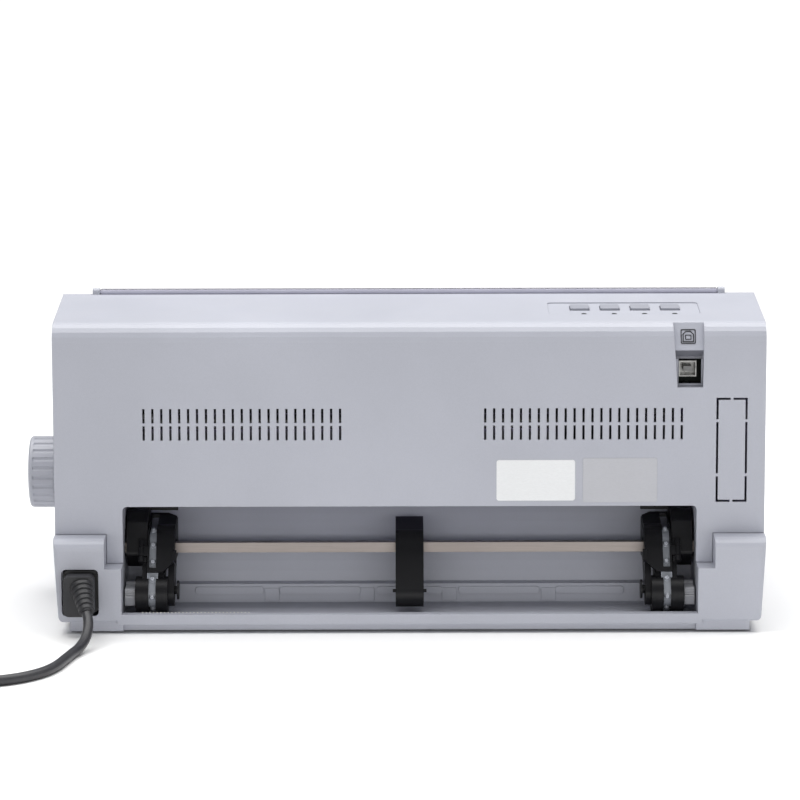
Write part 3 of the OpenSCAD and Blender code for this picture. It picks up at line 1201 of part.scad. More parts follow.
// Least distance of points more than half a turn apart, less the tube's diameter
coil_gap = min([for (i = [0:len(coil_line) - 14], j = [i + 13:len(coil_line) - 1])
    norm(coil_line[i] - coil_line[j])]) - cord_d;
function path_l(p, i = 1) = i >= len(p) ? 0 : norm(p[i] - p[i - 1]) + path_l(p, i + 1);
echo(coil_gap = coil_gap, lead_mm = path_l(route) + path_l(coil_line));  // cord_coil

module cord_coil() color(dark_grey) tube(coil_line, cord_d / 2, 6);

// A generic three-pin mains plug that lies beside the coil
module mains_plug() color(black) {
    x = tail_end[0];
    y = tail_end[1];
    z = tail_end[2];
    translate([x, y, z]) rotate([90, 0, 0]) {
        cylinder(h = 10, r1 = 4.6, r2 = 6.4, $fn = 32);
        translate([0, 0, 9.5]) linear_extrude(24) polygon(rounded([[-12, -z], [12, -z], [12, 2], [7, z - 1],
            [-7, z - 1], [-12, 2]], [2, 2, 3, 3, 3, 3]));
    }
    color(steel) for (p = [[-6.5, 0, 30], [6.5, 0, -30], [0, -7, 0]]) translate([x + p[0], y - 33.4, z + p[1] - 1])
        rotate([0, p[2], 0]) translate([-0.8, -17, -2.8]) cube([1.6, 17, 5.6]);
}

lower_case();
upper_case();
top_cover();
paper_table();
table_guide();
rear_guide();
rubber_feet();
case_screws();
base_plate();
side_frame_left();
side_frame_right();
platen();
platen_shaft();
platen_bushes();
platen_gear();
knob();
carriage_rod();
carriage_rail();
carriage();
print_head();
carriage_belt();
carriage_motor();
motor_pulley();
belt_idler();
ribbon_cartridge();
ribbon_knob();
feed_motor();
feed_pinion();
feed_gear();
tractor_shaft();
tractor_gear();
tractor_bushes();
tractor_rod();
tractor_left();
tractor_left_lid();
tractor_left_hub();
tractor_left_belt();
tractor_left_lever();
tractor_right();
tractor_right_lid();
tractor_right_hub();
tractor_right_belt();
tractor_right_lever();
centre_support();
panel_board();
button_1();
button_2();
button_3();
button_4();
main_board();
usb_socket();
power_supply();
power_inlet();
power_switch();
switch_frame();
inlet_plug();
cord_run();
cord_coil();
mains_plug();
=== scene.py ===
"""Looks of the wide flatbed dot matrix printer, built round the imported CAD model.

Blender works in metres, in the CAD's frame: X along the platen, +Y the rear, z = 0 the desk.
Places and sizes of the cord, the detail pieces and the boxes in the materials are written in
millimetres, as in the CAD source, and are multiplied by MM where they are used.
"""

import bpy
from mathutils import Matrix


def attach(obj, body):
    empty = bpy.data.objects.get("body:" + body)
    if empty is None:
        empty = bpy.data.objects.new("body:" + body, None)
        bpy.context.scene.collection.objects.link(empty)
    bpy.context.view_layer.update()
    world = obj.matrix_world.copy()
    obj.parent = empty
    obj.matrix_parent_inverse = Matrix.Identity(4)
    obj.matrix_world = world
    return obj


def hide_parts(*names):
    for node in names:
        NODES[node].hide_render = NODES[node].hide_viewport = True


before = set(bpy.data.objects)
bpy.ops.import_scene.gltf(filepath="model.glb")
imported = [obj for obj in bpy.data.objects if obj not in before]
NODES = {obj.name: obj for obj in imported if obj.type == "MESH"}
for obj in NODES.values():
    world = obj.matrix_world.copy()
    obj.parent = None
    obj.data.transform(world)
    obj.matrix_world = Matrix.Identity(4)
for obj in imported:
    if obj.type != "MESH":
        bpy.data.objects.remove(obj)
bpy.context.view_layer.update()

import math

import bmesh
import bpy
from mathutils import Matrix, Vector

MM = 0.001
scene = bpy.context.scene


def add_object(name, data):
    obj = bpy.data.objects.new(name, data)
    scene.collection.objects.link(obj)
    return obj


def on_circle(radius, angle):
    return radius * math.cos(angle), radius * math.sin(angle)


# ---------------------------------------------------------------------------------------------
# Camera: the photograph's eye point, from behind and 9 degrees above
# ---------------------------------------------------------------------------------------------
IMAGE = 800                      # pixels, both ways
FOCAL_PX = 3548.0
SENSOR = 36.0                    # mm
CLIP_NEAR, CLIP_FAR = 0.05, 60.0
CAMERA_PITCH = math.radians(9.0)
CAMERA_ROLL = math.radians(-0.14)
CAMERA_DISTANCE = 2.447
CAMERA_AIM = Vector((0.0064, 0.155, 0.160))


def make_camera():
    back = Vector((0.0, math.cos(CAMERA_PITCH), math.sin(CAMERA_PITCH)))
    right = Vector((-1.0, 0.0, 0.0))
    up = Vector((0.0, -math.sin(CAMERA_PITCH), math.cos(CAMERA_PITCH)))
    cr, sr = math.cos(CAMERA_ROLL), math.sin(CAMERA_ROLL)
    right, up = right * cr + up * sr, up * cr - right * sr
    data = bpy.data.cameras.new("photo_camera")
    data.sensor_width = SENSOR
    data.sensor_fit = "HORIZONTAL"
    data.lens = FOCAL_PX / IMAGE * SENSOR
    data.clip_start, data.clip_end = CLIP_NEAR, CLIP_FAR
    cam = add_object("photo_camera", data)
    turn = Matrix((right, up, back)).transposed().to_4x4()
    cam.matrix_world = Matrix.Translation(CAMERA_AIM + back * CAMERA_DISTANCE) @ turn
    scene.camera = cam


make_camera()
scene.view_settings.view_transform = "Standard"


# ---------------------------------------------------------------------------------------------
# Materials
# ---------------------------------------------------------------------------------------------
EDGE_DOT = (0.75, 0.995)         # cosines between the true and the rounded normal: edge, flat
BEVEL_SAMPLES = 4
TONE_AT = (0.3, 0.7)             # where a noise reaches the darker and the lighter tone
STAIN_AT = (0.5, 0.8)            # where a noise begins to stain, and stains fully
CLOUD_AT = (0.45, 0.8)
PAST_ALL = 1000.0                # mm, beyond every point of the object


def grey(level):
    return (level, level, level)


def scaled(colour, k):
    return tuple(min(1.0, c * k) for c in colour)


def about(middle, below, above):
    """A range round a middle value."""
    return (middle - below, middle + above)


class Tree:
    """A small helper round one material's nodes.

    Noise scales are in cells per metre, bump and bevel distances in metres.
    """

    def __init__(self, name):
        self.material = bpy.data.materials.new(name)
        self.material.use_nodes = True
        self.tree = self.material.node_tree
        self.tree.nodes.clear()
        self.coord = None

    def add(self, kind, values=None, **settings):
        node = self.tree.nodes.new(kind)
        for key, value in settings.items():
            setattr(node, key, value)
        for key, value in (values or {}).items():
            node.inputs[key].default_value = value
        return node

    def link(self, out, into):
        self.tree.links.new(out, into)

    def feed(self, socket, value):
        """Set a socket to a colour or a number, or link it. None leaves it alone."""
        if isinstance(value, tuple):
            socket.default_value = (*value, 1.0)
        elif isinstance(value, (int, float)):
            socket.default_value = value
        elif value is not None:
            self.link(value, socket)

    def coordinates(self, kind):
        if self.coord is None:
            self.coord = self.add("ShaderNodeTexCoord")
        return self.coord.outputs[kind]

    def position(self, stretch=(1.0, 1.0, 1.0), turn=(0.0, 0.0, 0.0)):
        node = self.add("ShaderNodeMapping", {"Scale": stretch, "Rotation": turn})
        self.link(self.coordinates("Object"), node.inputs["Vector"])
        return node.outputs["Vector"]

    def component(self, vector, axis):
        parts = self.add("ShaderNodeSeparateXYZ")
        self.link(vector, parts.inputs[0])
        return parts.outputs[axis]

    def facing(self, axis):
        """How far the surface faces along an axis of its object, whatever the pose."""
        return self.component(self.coordinates("Normal"), axis)

    def noise(self, scale, detail=2.0, rough=0.5, vector=None):
        node = self.add("ShaderNodeTexNoise", {
            "Scale": scale, "Detail": detail, "Roughness": rough})
        self.link(vector or self.position(), node.inputs["Vector"])
        return node.outputs["Fac"]

    def ramp(self, factor, first, last, at=TONE_AT):
        """A colour between two, which are reached at two values of the factor."""
        node = self.add("ShaderNodeValToRGB")
        for element, place, colour in zip(node.color_ramp.elements, at, (first, last)):
            element.position = place
            element.color = (*colour, 1.0)
        self.link(factor, node.inputs["Fac"])
        return node.outputs["Color"]

    def tones(self, factor, colour, dark, light, at=TONE_AT):
        return self.ramp(factor, scaled(colour, dark), scaled(colour, light), at)

    def math(self, operation, a, b, clamp=False):
        node = self.add("ShaderNodeMath", operation=operation, use_clamp=clamp)
        self.feed(node.inputs[0], a)
        self.feed(node.inputs[1], b)
        return node.outputs[0]

    def span(self, factor, to, over=(0.0, 1.0)):
        """The factor's range over, mapped to the range to and held at its ends."""
        node = self.add("ShaderNodeMapRange", {
            "From Min": over[0], "From Max": over[1], "To Min": to[0], "To Max": to[1]})
        self.link(factor, node.inputs["Value"])
        return node.outputs["Result"]

    def blend(self, factor, a, b, mode="MIX"):
        node = self.add("ShaderNodeMix", data_type="RGBA", blend_type=mode)
        # A Mix node's colour sockets have no names of their own: 0 is the factor, 6 A, 7 B
        for index, value in ((0, factor), (6, a), (7, b)):
            self.feed(node.inputs[index], value)
        return node.outputs[2]

    def mix(self, factor, first, second):
        """The second shader where the factor is 1, and the first where it is 0."""
        node = self.add("ShaderNodeMixShader")
        for index, value in enumerate((factor, first, second)):
            self.link(value, node.inputs[index])
        return node.outputs[0]

    def bump(self, height, distance, normal=None):
        node = self.add("ShaderNodeBump", {"Strength": 1.0, "Distance": distance})
        self.link(height, node.inputs["Height"])
        self.feed(node.inputs["Normal"], normal)
        return node.outputs["Normal"]

    def edges(self, radius):
        """A rounded normal, and before it a mask from its turn: 1 on an edge, 0 elsewhere."""
        bevel = self.add("ShaderNodeBevel", {"Radius": radius}, samples=BEVEL_SAMPLES)
        flat = self.add("ShaderNodeNewGeometry")
        dot = self.add("ShaderNodeVectorMath", operation="DOT_PRODUCT")
        self.link(bevel.outputs["Normal"], dot.inputs[0])
        self.link(flat.outputs["Normal"], dot.inputs[1])
        return self.span(dot.outputs["Value"], (1.0, 0.0), EDGE_DOT), bevel.outputs["Normal"]

    def inside(self, box, soft=0.02):
        """1 inside a box of object coordinates in mm, given for the axes that bound it."""
        mask = None
        for axis, (low, high) in box.items():
            value = self.component(self.position(), axis)
            above = self.span(value, (0.0, 1.0), ((low - soft) * MM, (low + soft) * MM))
            below = self.span(value, (1.0, 0.0), ((high - soft) * MM, (high + soft) * MM))
            part = self.math("MULTIPLY", above, below)
            mask = part if mask is None else self.math("MULTIPLY", mask, part)
        return mask

    def shader(self, colour, rough, normal, metallic=0.0, **constants):
        node = self.add("ShaderNodeBsdfPrincipled", {"Metallic": metallic})
        for key, value in constants.items():
            node.inputs[key.replace("_", " ")].default_value = value
        for key, value in (("Base Color", colour), ("Roughness", rough), ("Normal", normal)):
            self.feed(node.inputs[key], value)
        return node.outputs["BSDF"]

    def stuff(self, tone, colours, gloss, rough, depth, metallic=0.0, **constants):
        """A shader with colour and relief from one noise and roughness from another."""
        return self.shader(self.ramp(tone, *colours), self.span(gloss, rough),
                           self.bump(tone, depth), metallic, **constants)

    def done(self, shader):
        out = self.add("ShaderNodeOutputMaterial")
        self.link(shader, out.inputs["Surface"])
        return self.material


DUST = (0.62, 0.60, 0.56)
# painted shade: the colour that darkens a recess's moulding, and the width over which it fades
RECESS_PAINTED_SHADE = (0.36, 0.36, 0.37)
RECESS_SOFT = 0.1                # mm over which the shade of a recess fades


def plastic(name, colour, rough=0.42, mottle=0.05, edge=0.35, edge_radius=0.0006,
            edge_lift=1.35, specular=0.5, coat=0.0, dust=0.05, painted_shade_box=None):
    """Moulded plastic: fine spark-eroded grain, a little mottle, paler edges and dust on top.

    The last argument is a box, in mm, inside which shade is painted into the colour: the shadow
    of a narrow recess.
    """
    t = Tree(name)
    grain = t.noise(1500.0, 2.0, 0.6)
    base = t.tones(t.noise(7.0, 3.0, 0.55), colour, 1 - mottle, 1 + mottle)
    base = t.blend(0.6, base, t.ramp(grain, grey(0.90), grey(1.0), (0.25, 0.75)), "MULTIPLY")
    edge_mask, round_normal = t.edges(edge_radius)
    wear = t.span(t.noise(90.0, 3.0), (edge * 0.4, edge))
    base = t.blend(t.math("MULTIPLY", edge_mask, wear, True), base, scaled(colour, edge_lift))
    upward = t.span(t.facing("Z"), (0.0, dust), over=(0.6, 1.0))
    settled = t.span(t.noise(26.0, 4.0, 0.65), (0.0, 1.0), over=(0.45, 0.75))
    base = t.blend(t.math("MULTIPLY", upward, settled, True), base, DUST)
    # painted shade: inside the given box the colour is darkened, standing in for the shadow in
    # a deep recess
    if painted_shade_box:
        shaded = t.blend(1.0, base, RECESS_PAINTED_SHADE, "MULTIPLY")
        base = t.blend(t.inside(painted_shade_box, RECESS_SOFT), base, shaded)
    roughness = t.math("ADD", t.span(t.noise(40.0, 3.0), about(rough, 0.05, 0.06)),
                       t.span(grain, (-0.03, 0.03)))
    warped = t.bump(t.noise(11.0, 1.0), 6e-5, round_normal)
    normal = t.bump(grain, 2.5e-5, warped)
    return t.done(t.shader(base, roughness, normal, Specular_IOR_Level=specular,
                           Coat_Weight=coat))


METAL_EDGE = 0.0003              # metres, the radius of a broken metal edge
DRAWN = (1.0, 60.0, 60.0)        # stretch of the streaks: along X, as on rods and shafts
EVEN = (1.0, 1.0, 1.0)


def metal(name, colour, rough=0.28, stretch=DRAWN, scale=40.0, tint=0.12, metallic=1.0,
          spots=None):
    """Drawn, ground or cast metal: streaks or an even grain, with a faint stain."""
    t = Tree(name)
    streak = t.noise(scale, 3.0, 0.6, t.position(stretch))
    stain = t.noise(14.0, 4.0, 0.6)
    base = t.tones(streak, colour, 1 - tint, 1 + tint)
    base = t.blend(t.span(stain, (0.0, 0.35), STAIN_AT), base, spots or scaled(colour, 0.72))
    roughness = t.math("ADD", t.span(streak, about(rough, 0.07, 0.08)),
                       t.span(stain, (-0.03, 0.07)))
    edge_mask, round_normal = t.edges(METAL_EDGE)
    base = t.blend(t.math("MULTIPLY", edge_mask, 0.5), base, scaled(colour, 1.3))
    return t.done(t.shader(base, roughness, t.bump(streak, 1.2e-5, round_normal), metallic))


def sheet_metal(name, colour, rough=0.38):
    """Galvanised sheet: flat crystals of slightly different grey and gloss."""
    t = Tree(name)
    cells = t.add("ShaderNodeTexVoronoi", {"Scale": 160.0, "Randomness": 1.0})
    t.link(t.position(), cells.inputs["Vector"])
    tone = t.add("ShaderNodeSeparateColor")
    t.link(cells.outputs["Color"], tone.inputs["Color"])
    base = t.tones(tone.outputs["Red"], colour, 0.86, 1.12, at=(0.0, 1.0))
    base = t.blend(t.span(t.noise(9.0, 4.0), (0.0, 0.3), STAIN_AT), base, scaled(colour, 0.75))
    roughness = t.span(tone.outputs["Green"], about(rough, 0.08, 0.10))
    edge_mask, round_normal = t.edges(METAL_EDGE)
    base = t.blend(t.math("MULTIPLY", edge_mask, 0.5), base, scaled(colour, 1.25))
    normal = t.bump(t.noise(220.0, 3.0), 1.5e-5, round_normal)
    return t.done(t.shader(base, roughness, normal, metallic=0.85))


def rubber(name, colour, rough=0.62, grain=900.0, bloom=0.10):
    """Rubber or soft PVC: matt, with a grey bloom and a fine moulded skin."""
    t = Tree(name)
    skin = t.noise(grain, 3.0, 0.6)
    cloud = t.noise(30.0, 4.0, 0.6)
    base = t.tones(skin, colour, 0.85, 1.2)
    base = t.blend(t.span(cloud, (0.0, bloom), CLOUD_AT), base, (0.30, 0.30, 0.31))
    edge_mask, round_normal = t.edges(0.0005)
    base = t.blend(t.math("MULTIPLY", edge_mask, 0.3), base, scaled(colour, 2.2))
    roughness = t.span(cloud, about(rough, 0.08, 0.08))
    return t.done(t.shader(base, roughness, t.bump(skin, 3e-5, round_normal),
                           Specular_IOR_Level=0.4))


def tinted(name, colour, painted_highlight_colour):
    """The cover's smoke-violet acrylic, finely scratched, with a painted highlight: a pale
    opaque shader on faces turned to the rear, for the light that its rear edge catches.
    """
    t = Tree(name)
    scratch = t.noise(30.0, 4.0, 0.7, t.position((1.0, 40.0, 1.0), turn=(0.0, 0.0, 0.4)))
    dirt = t.noise(12.0, 4.0, 0.6)
    edge_mask, round_normal = t.edges(0.0006)
    base = t.tones(dirt, colour, 0.9, 1.1)
    base = t.blend(t.math("MULTIPLY", edge_mask, 0.5), base, scaled(colour, 1.6))
    roughness = t.math("ADD", t.span(dirt, (0.05, 0.12)),
                       t.span(scratch, (0.0, 0.10), over=(0.6, 0.8)))
    clear = t.shader(base, roughness, t.bump(scratch, 4e-6, round_normal),
                     Transmission_Weight=0.82, IOR=1.49, Coat_Weight=0.2)
    # painted highlight: the pale colour on faces turned to the rear stands for light caught by
    # the acrylic's rear edge
    pale = t.tones(dirt, painted_highlight_colour, 0.94, 1.05)
    edge = t.shader(pale, t.span(dirt, (0.30, 0.42)), t.bump(scratch, 4e-6))
    # mask of the painted highlight: faces turned towards +Y
    rear = t.span(t.facing("Y"), (0.0, 0.9), over=(0.55, 0.85))
    return t.done(t.mix(rear, clear, edge))


def film(name, colour, rough, curl):
    """A bare self-adhesive plate: film with a soft sheen, faint fibre and a slight curl."""
    t = Tree(name)
    fibre = t.noise(500.0, 4.0, 0.6, t.position((1.0, 1.0, 3.0)))
    cloud = t.noise(35.0, 3.0)
    base = t.tones(fibre, colour, 0.97, 1.03)
    base = t.blend(t.span(cloud, (0.0, 0.3), CLOUD_AT), base, scaled(colour, 0.93))
    edge_mask, round_normal = t.edges(0.0004)
    base = t.blend(t.math("MULTIPLY", edge_mask, 0.5), base, scaled(colour, 0.8))
    roughness = t.span(cloud, about(rough, 0.05, 0.06))
    normal = t.bump(fibre, 1e-5, t.bump(cloud, curl, round_normal))
    return t.done(t.shader(base, roughness, normal))


def board(name, solder, copper, body, top, pale_y, pale):
    """A populated circuit board: solder mask with tracks, and parts above its top.

    top is in mm. The parts have the body's colour, and the pale one between two places in Y.
    """
    t = Tree(name)
    tracks = t.add("ShaderNodeTexBrick", {
        "Scale": 210.0, "Mortar Size": 0.012, "Mortar Smooth": 0.1, "Bias": 0.0,
        "Brick Width": 1.4, "Row Height": 0.5, "Color1": (*solder, 1), "Color2": (*solder, 1),
        "Mortar": (*copper, 1)}, offset=0.37, squash=1.6, squash_frequency=3)
    t.link(t.position(), tracks.inputs["Vector"])
    mask = t.blend(0.5, tracks.outputs["Color"],
                   t.ramp(t.noise(60.0, 3.0), grey(0.8), grey(1.0)), "MULTIPLY")
    parts = t.tones(t.noise(900.0, 2.0), body, 0.8, 1.25)
    parts = t.blend(t.inside({"Y": pale_y}), parts, pale)
    high = t.inside({"Z": (top, PAST_ALL)})
    roughness = t.math("ADD", t.span(high, (0.28, 0.5)),
                       t.span(t.noise(200.0, 2.0), (-0.04, 0.04)))
    return t.done(t.shader(t.blend(high, mask, parts), roughness,
                           t.bump(tracks.outputs["Fac"], 2e-5), Coat_Weight=0.15))


TONGUE_BOX = {"X": (-195.6, -189.6), "Z": (178.1, 181.5)}
# box of the board behind the port, coloured near-black: its own colour darkened by painted
# shadow
PORT_BACK_AND_SHADOW = {"Y": (0.0, 129.05)}


def socket_look():
    """The USB port: a steel shell, a dark tongue in it, and behind them a near-black back, the
    board darkened by painted shadow.
    """
    t = Tree("usb_socket_look")
    broad = t.noise(300.0, 3.0)
    fine = t.noise(800.0, 2.0)
    steel = t.stuff(broad, ((0.24, 0.24, 0.235), (0.34, 0.34, 0.33)), broad, (0.22, 0.36),
                    1e-5, metallic=1.0)
    tongue = t.stuff(fine, (grey(0.20), (0.27, 0.27, 0.26)), fine, (0.40, 0.52), 2e-5)
    # painted shadow: the board behind the port is darkened to near-black
    back = t.stuff(fine, ((0.006, 0.010, 0.008), (0.010, 0.016, 0.012)), fine, (0.5, 0.6),
                   1e-5, Specular_IOR_Level=0.2)
    front = t.mix(t.inside(TONGUE_BOX), steel, tongue)
    return t.done(t.mix(t.inside(PORT_BACK_AND_SHADOW), front, back))


def moulded_look(name, colour, other=None, box=None, metallic=0.0):
    """A plain dark moulding, with another stuff in a box where one is given."""
    t = Tree(name)
    fine = t.noise(900.0, 3.0)
    cloud = t.noise(60.0, 3.0)
    look = t.stuff(fine, (scaled(colour, 0.85), scaled(colour, 1.2)), cloud, (0.42, 0.56),
                   3e-5)
    if other:
        second = t.stuff(cloud, (scaled(other, 0.85), scaled(other, 1.1)), fine, (0.20, 0.34),
                         1e-5, metallic)
        look = t.mix(t.inside(box), look, second)
    return t.done(look)


CASE_GREY = (0.440, 0.452, 0.512)
BLACK = (0.0075, 0.0075, 0.0090)
CHIP = (0.03, 0.03, 0.035)
# box of the USB recess in the upper case, where shade is painted into the case's colour
USB_RECESS_SHADE_BOX = {"X": (-202.8, -182.0), "Y": (120.0, 152.6), "Z": (186.6, 194.2)}
BOARD_TOP = 21.65
BLADES_ROOT = 234.5 - 33.6       # y: the lead's end less the length of the mains plug's body

LOOK = {
    "case": plastic("case_plastic", CASE_GREY, rough=0.40),
    # the upper case carries painted shade in its USB recess above the port
    "upper": plastic("upper_case_plastic", CASE_GREY, rough=0.40, painted_shade_box=USB_RECESS_SHADE_BOX),
    "table": plastic("table_plastic", scaled(CASE_GREY, 0.93)),
    "knob": plastic("knob_plastic", (0.410, 0.418, 0.468), rough=0.44),
    "button": plastic("button_plastic", (0.325, 0.335, 0.385), rough=0.38, edge_radius=0.0004),
    "dark": plastic("dark_plastic", (0.085, 0.086, 0.095), edge=0.25),
    "black": plastic("black_plastic", BLACK, mottle=0.12, edge=0.5, edge_radius=0.0004,
                     specular=0.22, dust=0.0),
    "mark": plastic("mark_plastic", (0.045, 0.045, 0.050), rough=0.50, edge=0.2, specular=0.2),
    "lever": plastic("lever_plastic", (0.33, 0.335, 0.36), rough=0.35, edge_radius=0.0003),
    "nylon": plastic("nylon_plastic", (0.74, 0.73, 0.68), rough=0.38, mottle=0.03,
                     edge_radius=0.0003, dust=0.02),
    "pins": plastic("pin_belt_plastic", (0.34, 0.36, 0.40), rough=0.30, edge=2.2,
                    edge_radius=0.0009, edge_lift=2.4, dust=0.0, coat=0.1),
    "steel": metal("ground_steel", (0.56, 0.55, 0.54)),
    "square": metal("warm_square_steel", (0.258, 0.230, 0.216), rough=0.40, tint=0.10,
                    spots=(0.20, 0.17, 0.16)),
    "oiled": metal("oiled_steel", (0.22, 0.215, 0.21), rough=0.30),
    "screw": metal("zinc_screw", (0.62, 0.61, 0.58), rough=0.32, stretch=EVEN, scale=300.0),
    "zinc": sheet_metal("galvanised_sheet", (0.52, 0.53, 0.54)),
    "bronze": metal("sintered_bronze", (0.52, 0.35, 0.17), rough=0.40, stretch=EVEN,
                    scale=700.0),
    "motor": metal("motor_can", (0.10, 0.10, 0.11), rough=0.40, stretch=EVEN, scale=260.0,
                   metallic=0.6),
    "head": metal("head_casting", (0.14, 0.14, 0.15), rough=0.46, stretch=EVEN, scale=420.0,
                  metallic=0.7),
    "platen": rubber("platen_rubber", (0.018, 0.018, 0.020), rough=0.55, grain=1400.0),
    "foot": rubber("foot_rubber", (0.025, 0.025, 0.026), rough=0.75, bloom=0.2),
    "belt": rubber("belt_rubber", (0.022, 0.022, 0.024), rough=0.6),
    "jacket": rubber("cord_jacket", (0.031, 0.031, 0.035), rough=0.40, grain=700.0),
    "plug": rubber("plug_rubber", (0.021, 0.021, 0.024), rough=0.50, grain=1100.0, bloom=0.08),
    # the second colour is the painted highlight on the cover's rear edge
    "cover": tinted("cover_acrylic", (0.20, 0.18, 0.33), (0.52, 0.52, 0.62)),
    "main_board": board("main_board_look", (0.02, 0.13, 0.05), (0.07, 0.26, 0.10), BLACK,
                        BOARD_TOP, (-17.0, -7.0), (0.72, 0.70, 0.64)),
    "supply": board("supply_board_look", (0.10, 0.07, 0.03), (0.22, 0.15, 0.06), CHIP,
                    BOARD_TOP, (-100.2, -61.8), (0.55, 0.45, 0.12)),
    "socket": socket_look(),
    "far_plug": moulded_look("mains_plug_look", (0.036, 0.036, 0.040), (0.72, 0.66, 0.50),
                             {"Y": (0.0, BLADES_ROOT)}, metallic=1.0),
    "inlet": moulded_look("inlet_look", BLACK),
    "panel": moulded_look("panel_board_look", (0.03, 0.15, 0.06), CHIP,
                          {"Z": (209.4, PAST_ALL)}),
}

NODE_LOOK = {
    "lower_case": "case", "upper_case": "upper", "top_cover": "cover", "paper_table": "table",
    "table_guide": "dark", "rear_guide": "zinc", "rubber_feet": "foot", "case_screws": "screw",
    "base_plate": "zinc", "side_frame_left": "zinc", "side_frame_right": "zinc",
    "platen": "platen", "platen_shaft": "steel", "platen_bushes": "bronze",
    "platen_gear": "nylon", "knob": "knob", "carriage_rod": "oiled", "carriage_rail": "zinc",
    "carriage": "dark", "print_head": "head", "carriage_belt": "belt",
    "carriage_motor": "motor", "motor_pulley": "steel", "belt_idler": "nylon",
    "ribbon_cartridge": "black", "ribbon_knob": "dark", "feed_motor": "motor",
    "feed_pinion": "steel", "feed_gear": "nylon", "tractor_shaft": "square",
    "tractor_gear": "nylon", "tractor_bushes": "bronze", "tractor_rod": "steel",
    "tractor_left": "black", "tractor_left_lid": "black", "tractor_left_hub": "black",
    "tractor_left_belt": "pins", "tractor_left_lever": "lever",
    "tractor_right": "black", "tractor_right_lid": "black", "tractor_right_hub": "black",
    "tractor_right_belt": "pins", "tractor_right_lever": "lever", "centre_support": "black",
    "panel_board": "panel", "button_1": "button", "button_2": "button", "button_3": "button",
    "button_4": "button", "main_board": "main_board", "usb_socket": "socket",
    "power_supply": "supply", "power_inlet": "inlet", "power_switch": "black",
    "switch_frame": "black", "inlet_plug": "plug", "cord_run": "jacket", "cord_coil": "jacket",
    "mains_plug": "far_plug",
}


def dress_nodes():
    for name, look in NODE_LOOK.items():
        mesh = NODES[name].data
        if not mesh.materials:
            mesh.materials.append(LOOK[look])
        for index in range(len(mesh.materials)):
            mesh.materials[index] = LOOK[look]


dress_nodes()


# ---------------------------------------------------------------------------------------------
# Mains lead: one cord from the strain relief to the far plug
# ---------------------------------------------------------------------------------------------
CORD_D = 7.0
ROUTE = [(220.3, 206, 21.2), (218.9, 211.5, 17.2), (218.6, 218.5, 12.6), (220, 228, 7.7),
         (223.2, 239, 4.5), (226.8, 251, 3.5), (230.3, 269, 3.5), (234.4, 288, 3.5),
         (242, 305, 3.5), (255, 319.5, 3.5), (271, 328, 3.5), (290, 331.5, 3.5),
         (310, 332, 3.5), (332, 332, 3.5), (340, 332, 3.5)]
COIL_R = 52.5                    # of the outer turn's centre line
COIL_MID = (340.0, 332.0 - COIL_R)
COIL_TURNS = 6.25                # half of them wind inwards, and half outwards on top of those
COIL_STEPS = 24                  # points in a turn
COIL_START = 2                   # the first of them that is used, after the route's end
COIL_PITCH = 7.5                 # between turns, and between the two layers
CLIMB = 0.5                      # turns in which the lead climbs to the upper layer
TAIL = 45.0                      # from the coil to the far plug
CURVE_STEPS = 3                  # curve points for each point of the line
CORD_SIDES = 6                   # resolution of the cord's round section


def coil_point(turns):
    half = COIL_TURNS / 2
    r = COIL_R - COIL_PITCH * (half - abs(turns - half))
    climb = min(1.0, max(0.0, (turns - half + CLIMB / 2) / CLIMB))
    x, y = on_circle(r, math.radians(90 - 360 * turns))
    return (COIL_MID[0] + x, COIL_MID[1] + y,
            CORD_D / 2 + COIL_PITCH * (3 * climb ** 2 - 2 * climb ** 3))


def smooth(points, steps):
    """Points of a smooth (uniform Catmull-Rom) curve through the given ones."""
    out = []
    for i in range(len(points) - 1):
        p0 = points[max(i - 1, 0)]
        p1, p2 = points[i], points[i + 1]
        p3 = points[min(i + 2, len(points) - 1)]
        for k in range(steps):
            s = k / steps
            out.append(0.5 * ((2 * p1) + (p2 - p0) * s + (2 * p0 - 5 * p1 + 4 * p2 - p3) * s * s
                              + (3 * p1 - p0 - 3 * p2 + p3) * s ** 3))
    out.append(points[-1])
    return out


def build_cord():
    route_x, route_y, route_z = ROUTE[-1]
    line = [*ROUTE, (route_x + CORD_D, route_y, route_z)]
    line += [coil_point(i / COIL_STEPS)
             for i in range(COIL_START, int(COIL_TURNS * COIL_STEPS) + 1)]
    x, y, z = coil_point(COIL_TURNS)
    line += [(x, y - TAIL + CORD_D, z), (x, y - TAIL, z)]
    points = smooth([Vector(p) * MM for p in line], CURVE_STEPS)
    curve = bpy.data.curves.new("mains_lead", "CURVE")
    curve.dimensions = "3D"
    curve.bevel_depth = CORD_D / 2 * MM
    curve.bevel_resolution = CORD_SIDES
    curve.use_fill_caps = True
    spline = curve.splines.new("POLY")
    spline.points.add(len(points) - 1)
    for target, p in zip(spline.points, points):
        target.co = (*p, 1.0)
    curve.materials.append(LOOK["jacket"])
    lead = add_object("mains_lead", curve)
    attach(lead, "chassis")
    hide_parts("cord_run", "cord_coil")


build_cord()


# ---------------------------------------------------------------------------------------------
# Detail pieces, all of them on the case
# ---------------------------------------------------------------------------------------------
REAR_Y = 155.0                   # the rear face
SUNK = 0.05                      # how deep a piece starts under the face that it sits on
BEVEL_ANGLE = math.radians(35)
SMOOTH_ANGLE = math.radians(40)


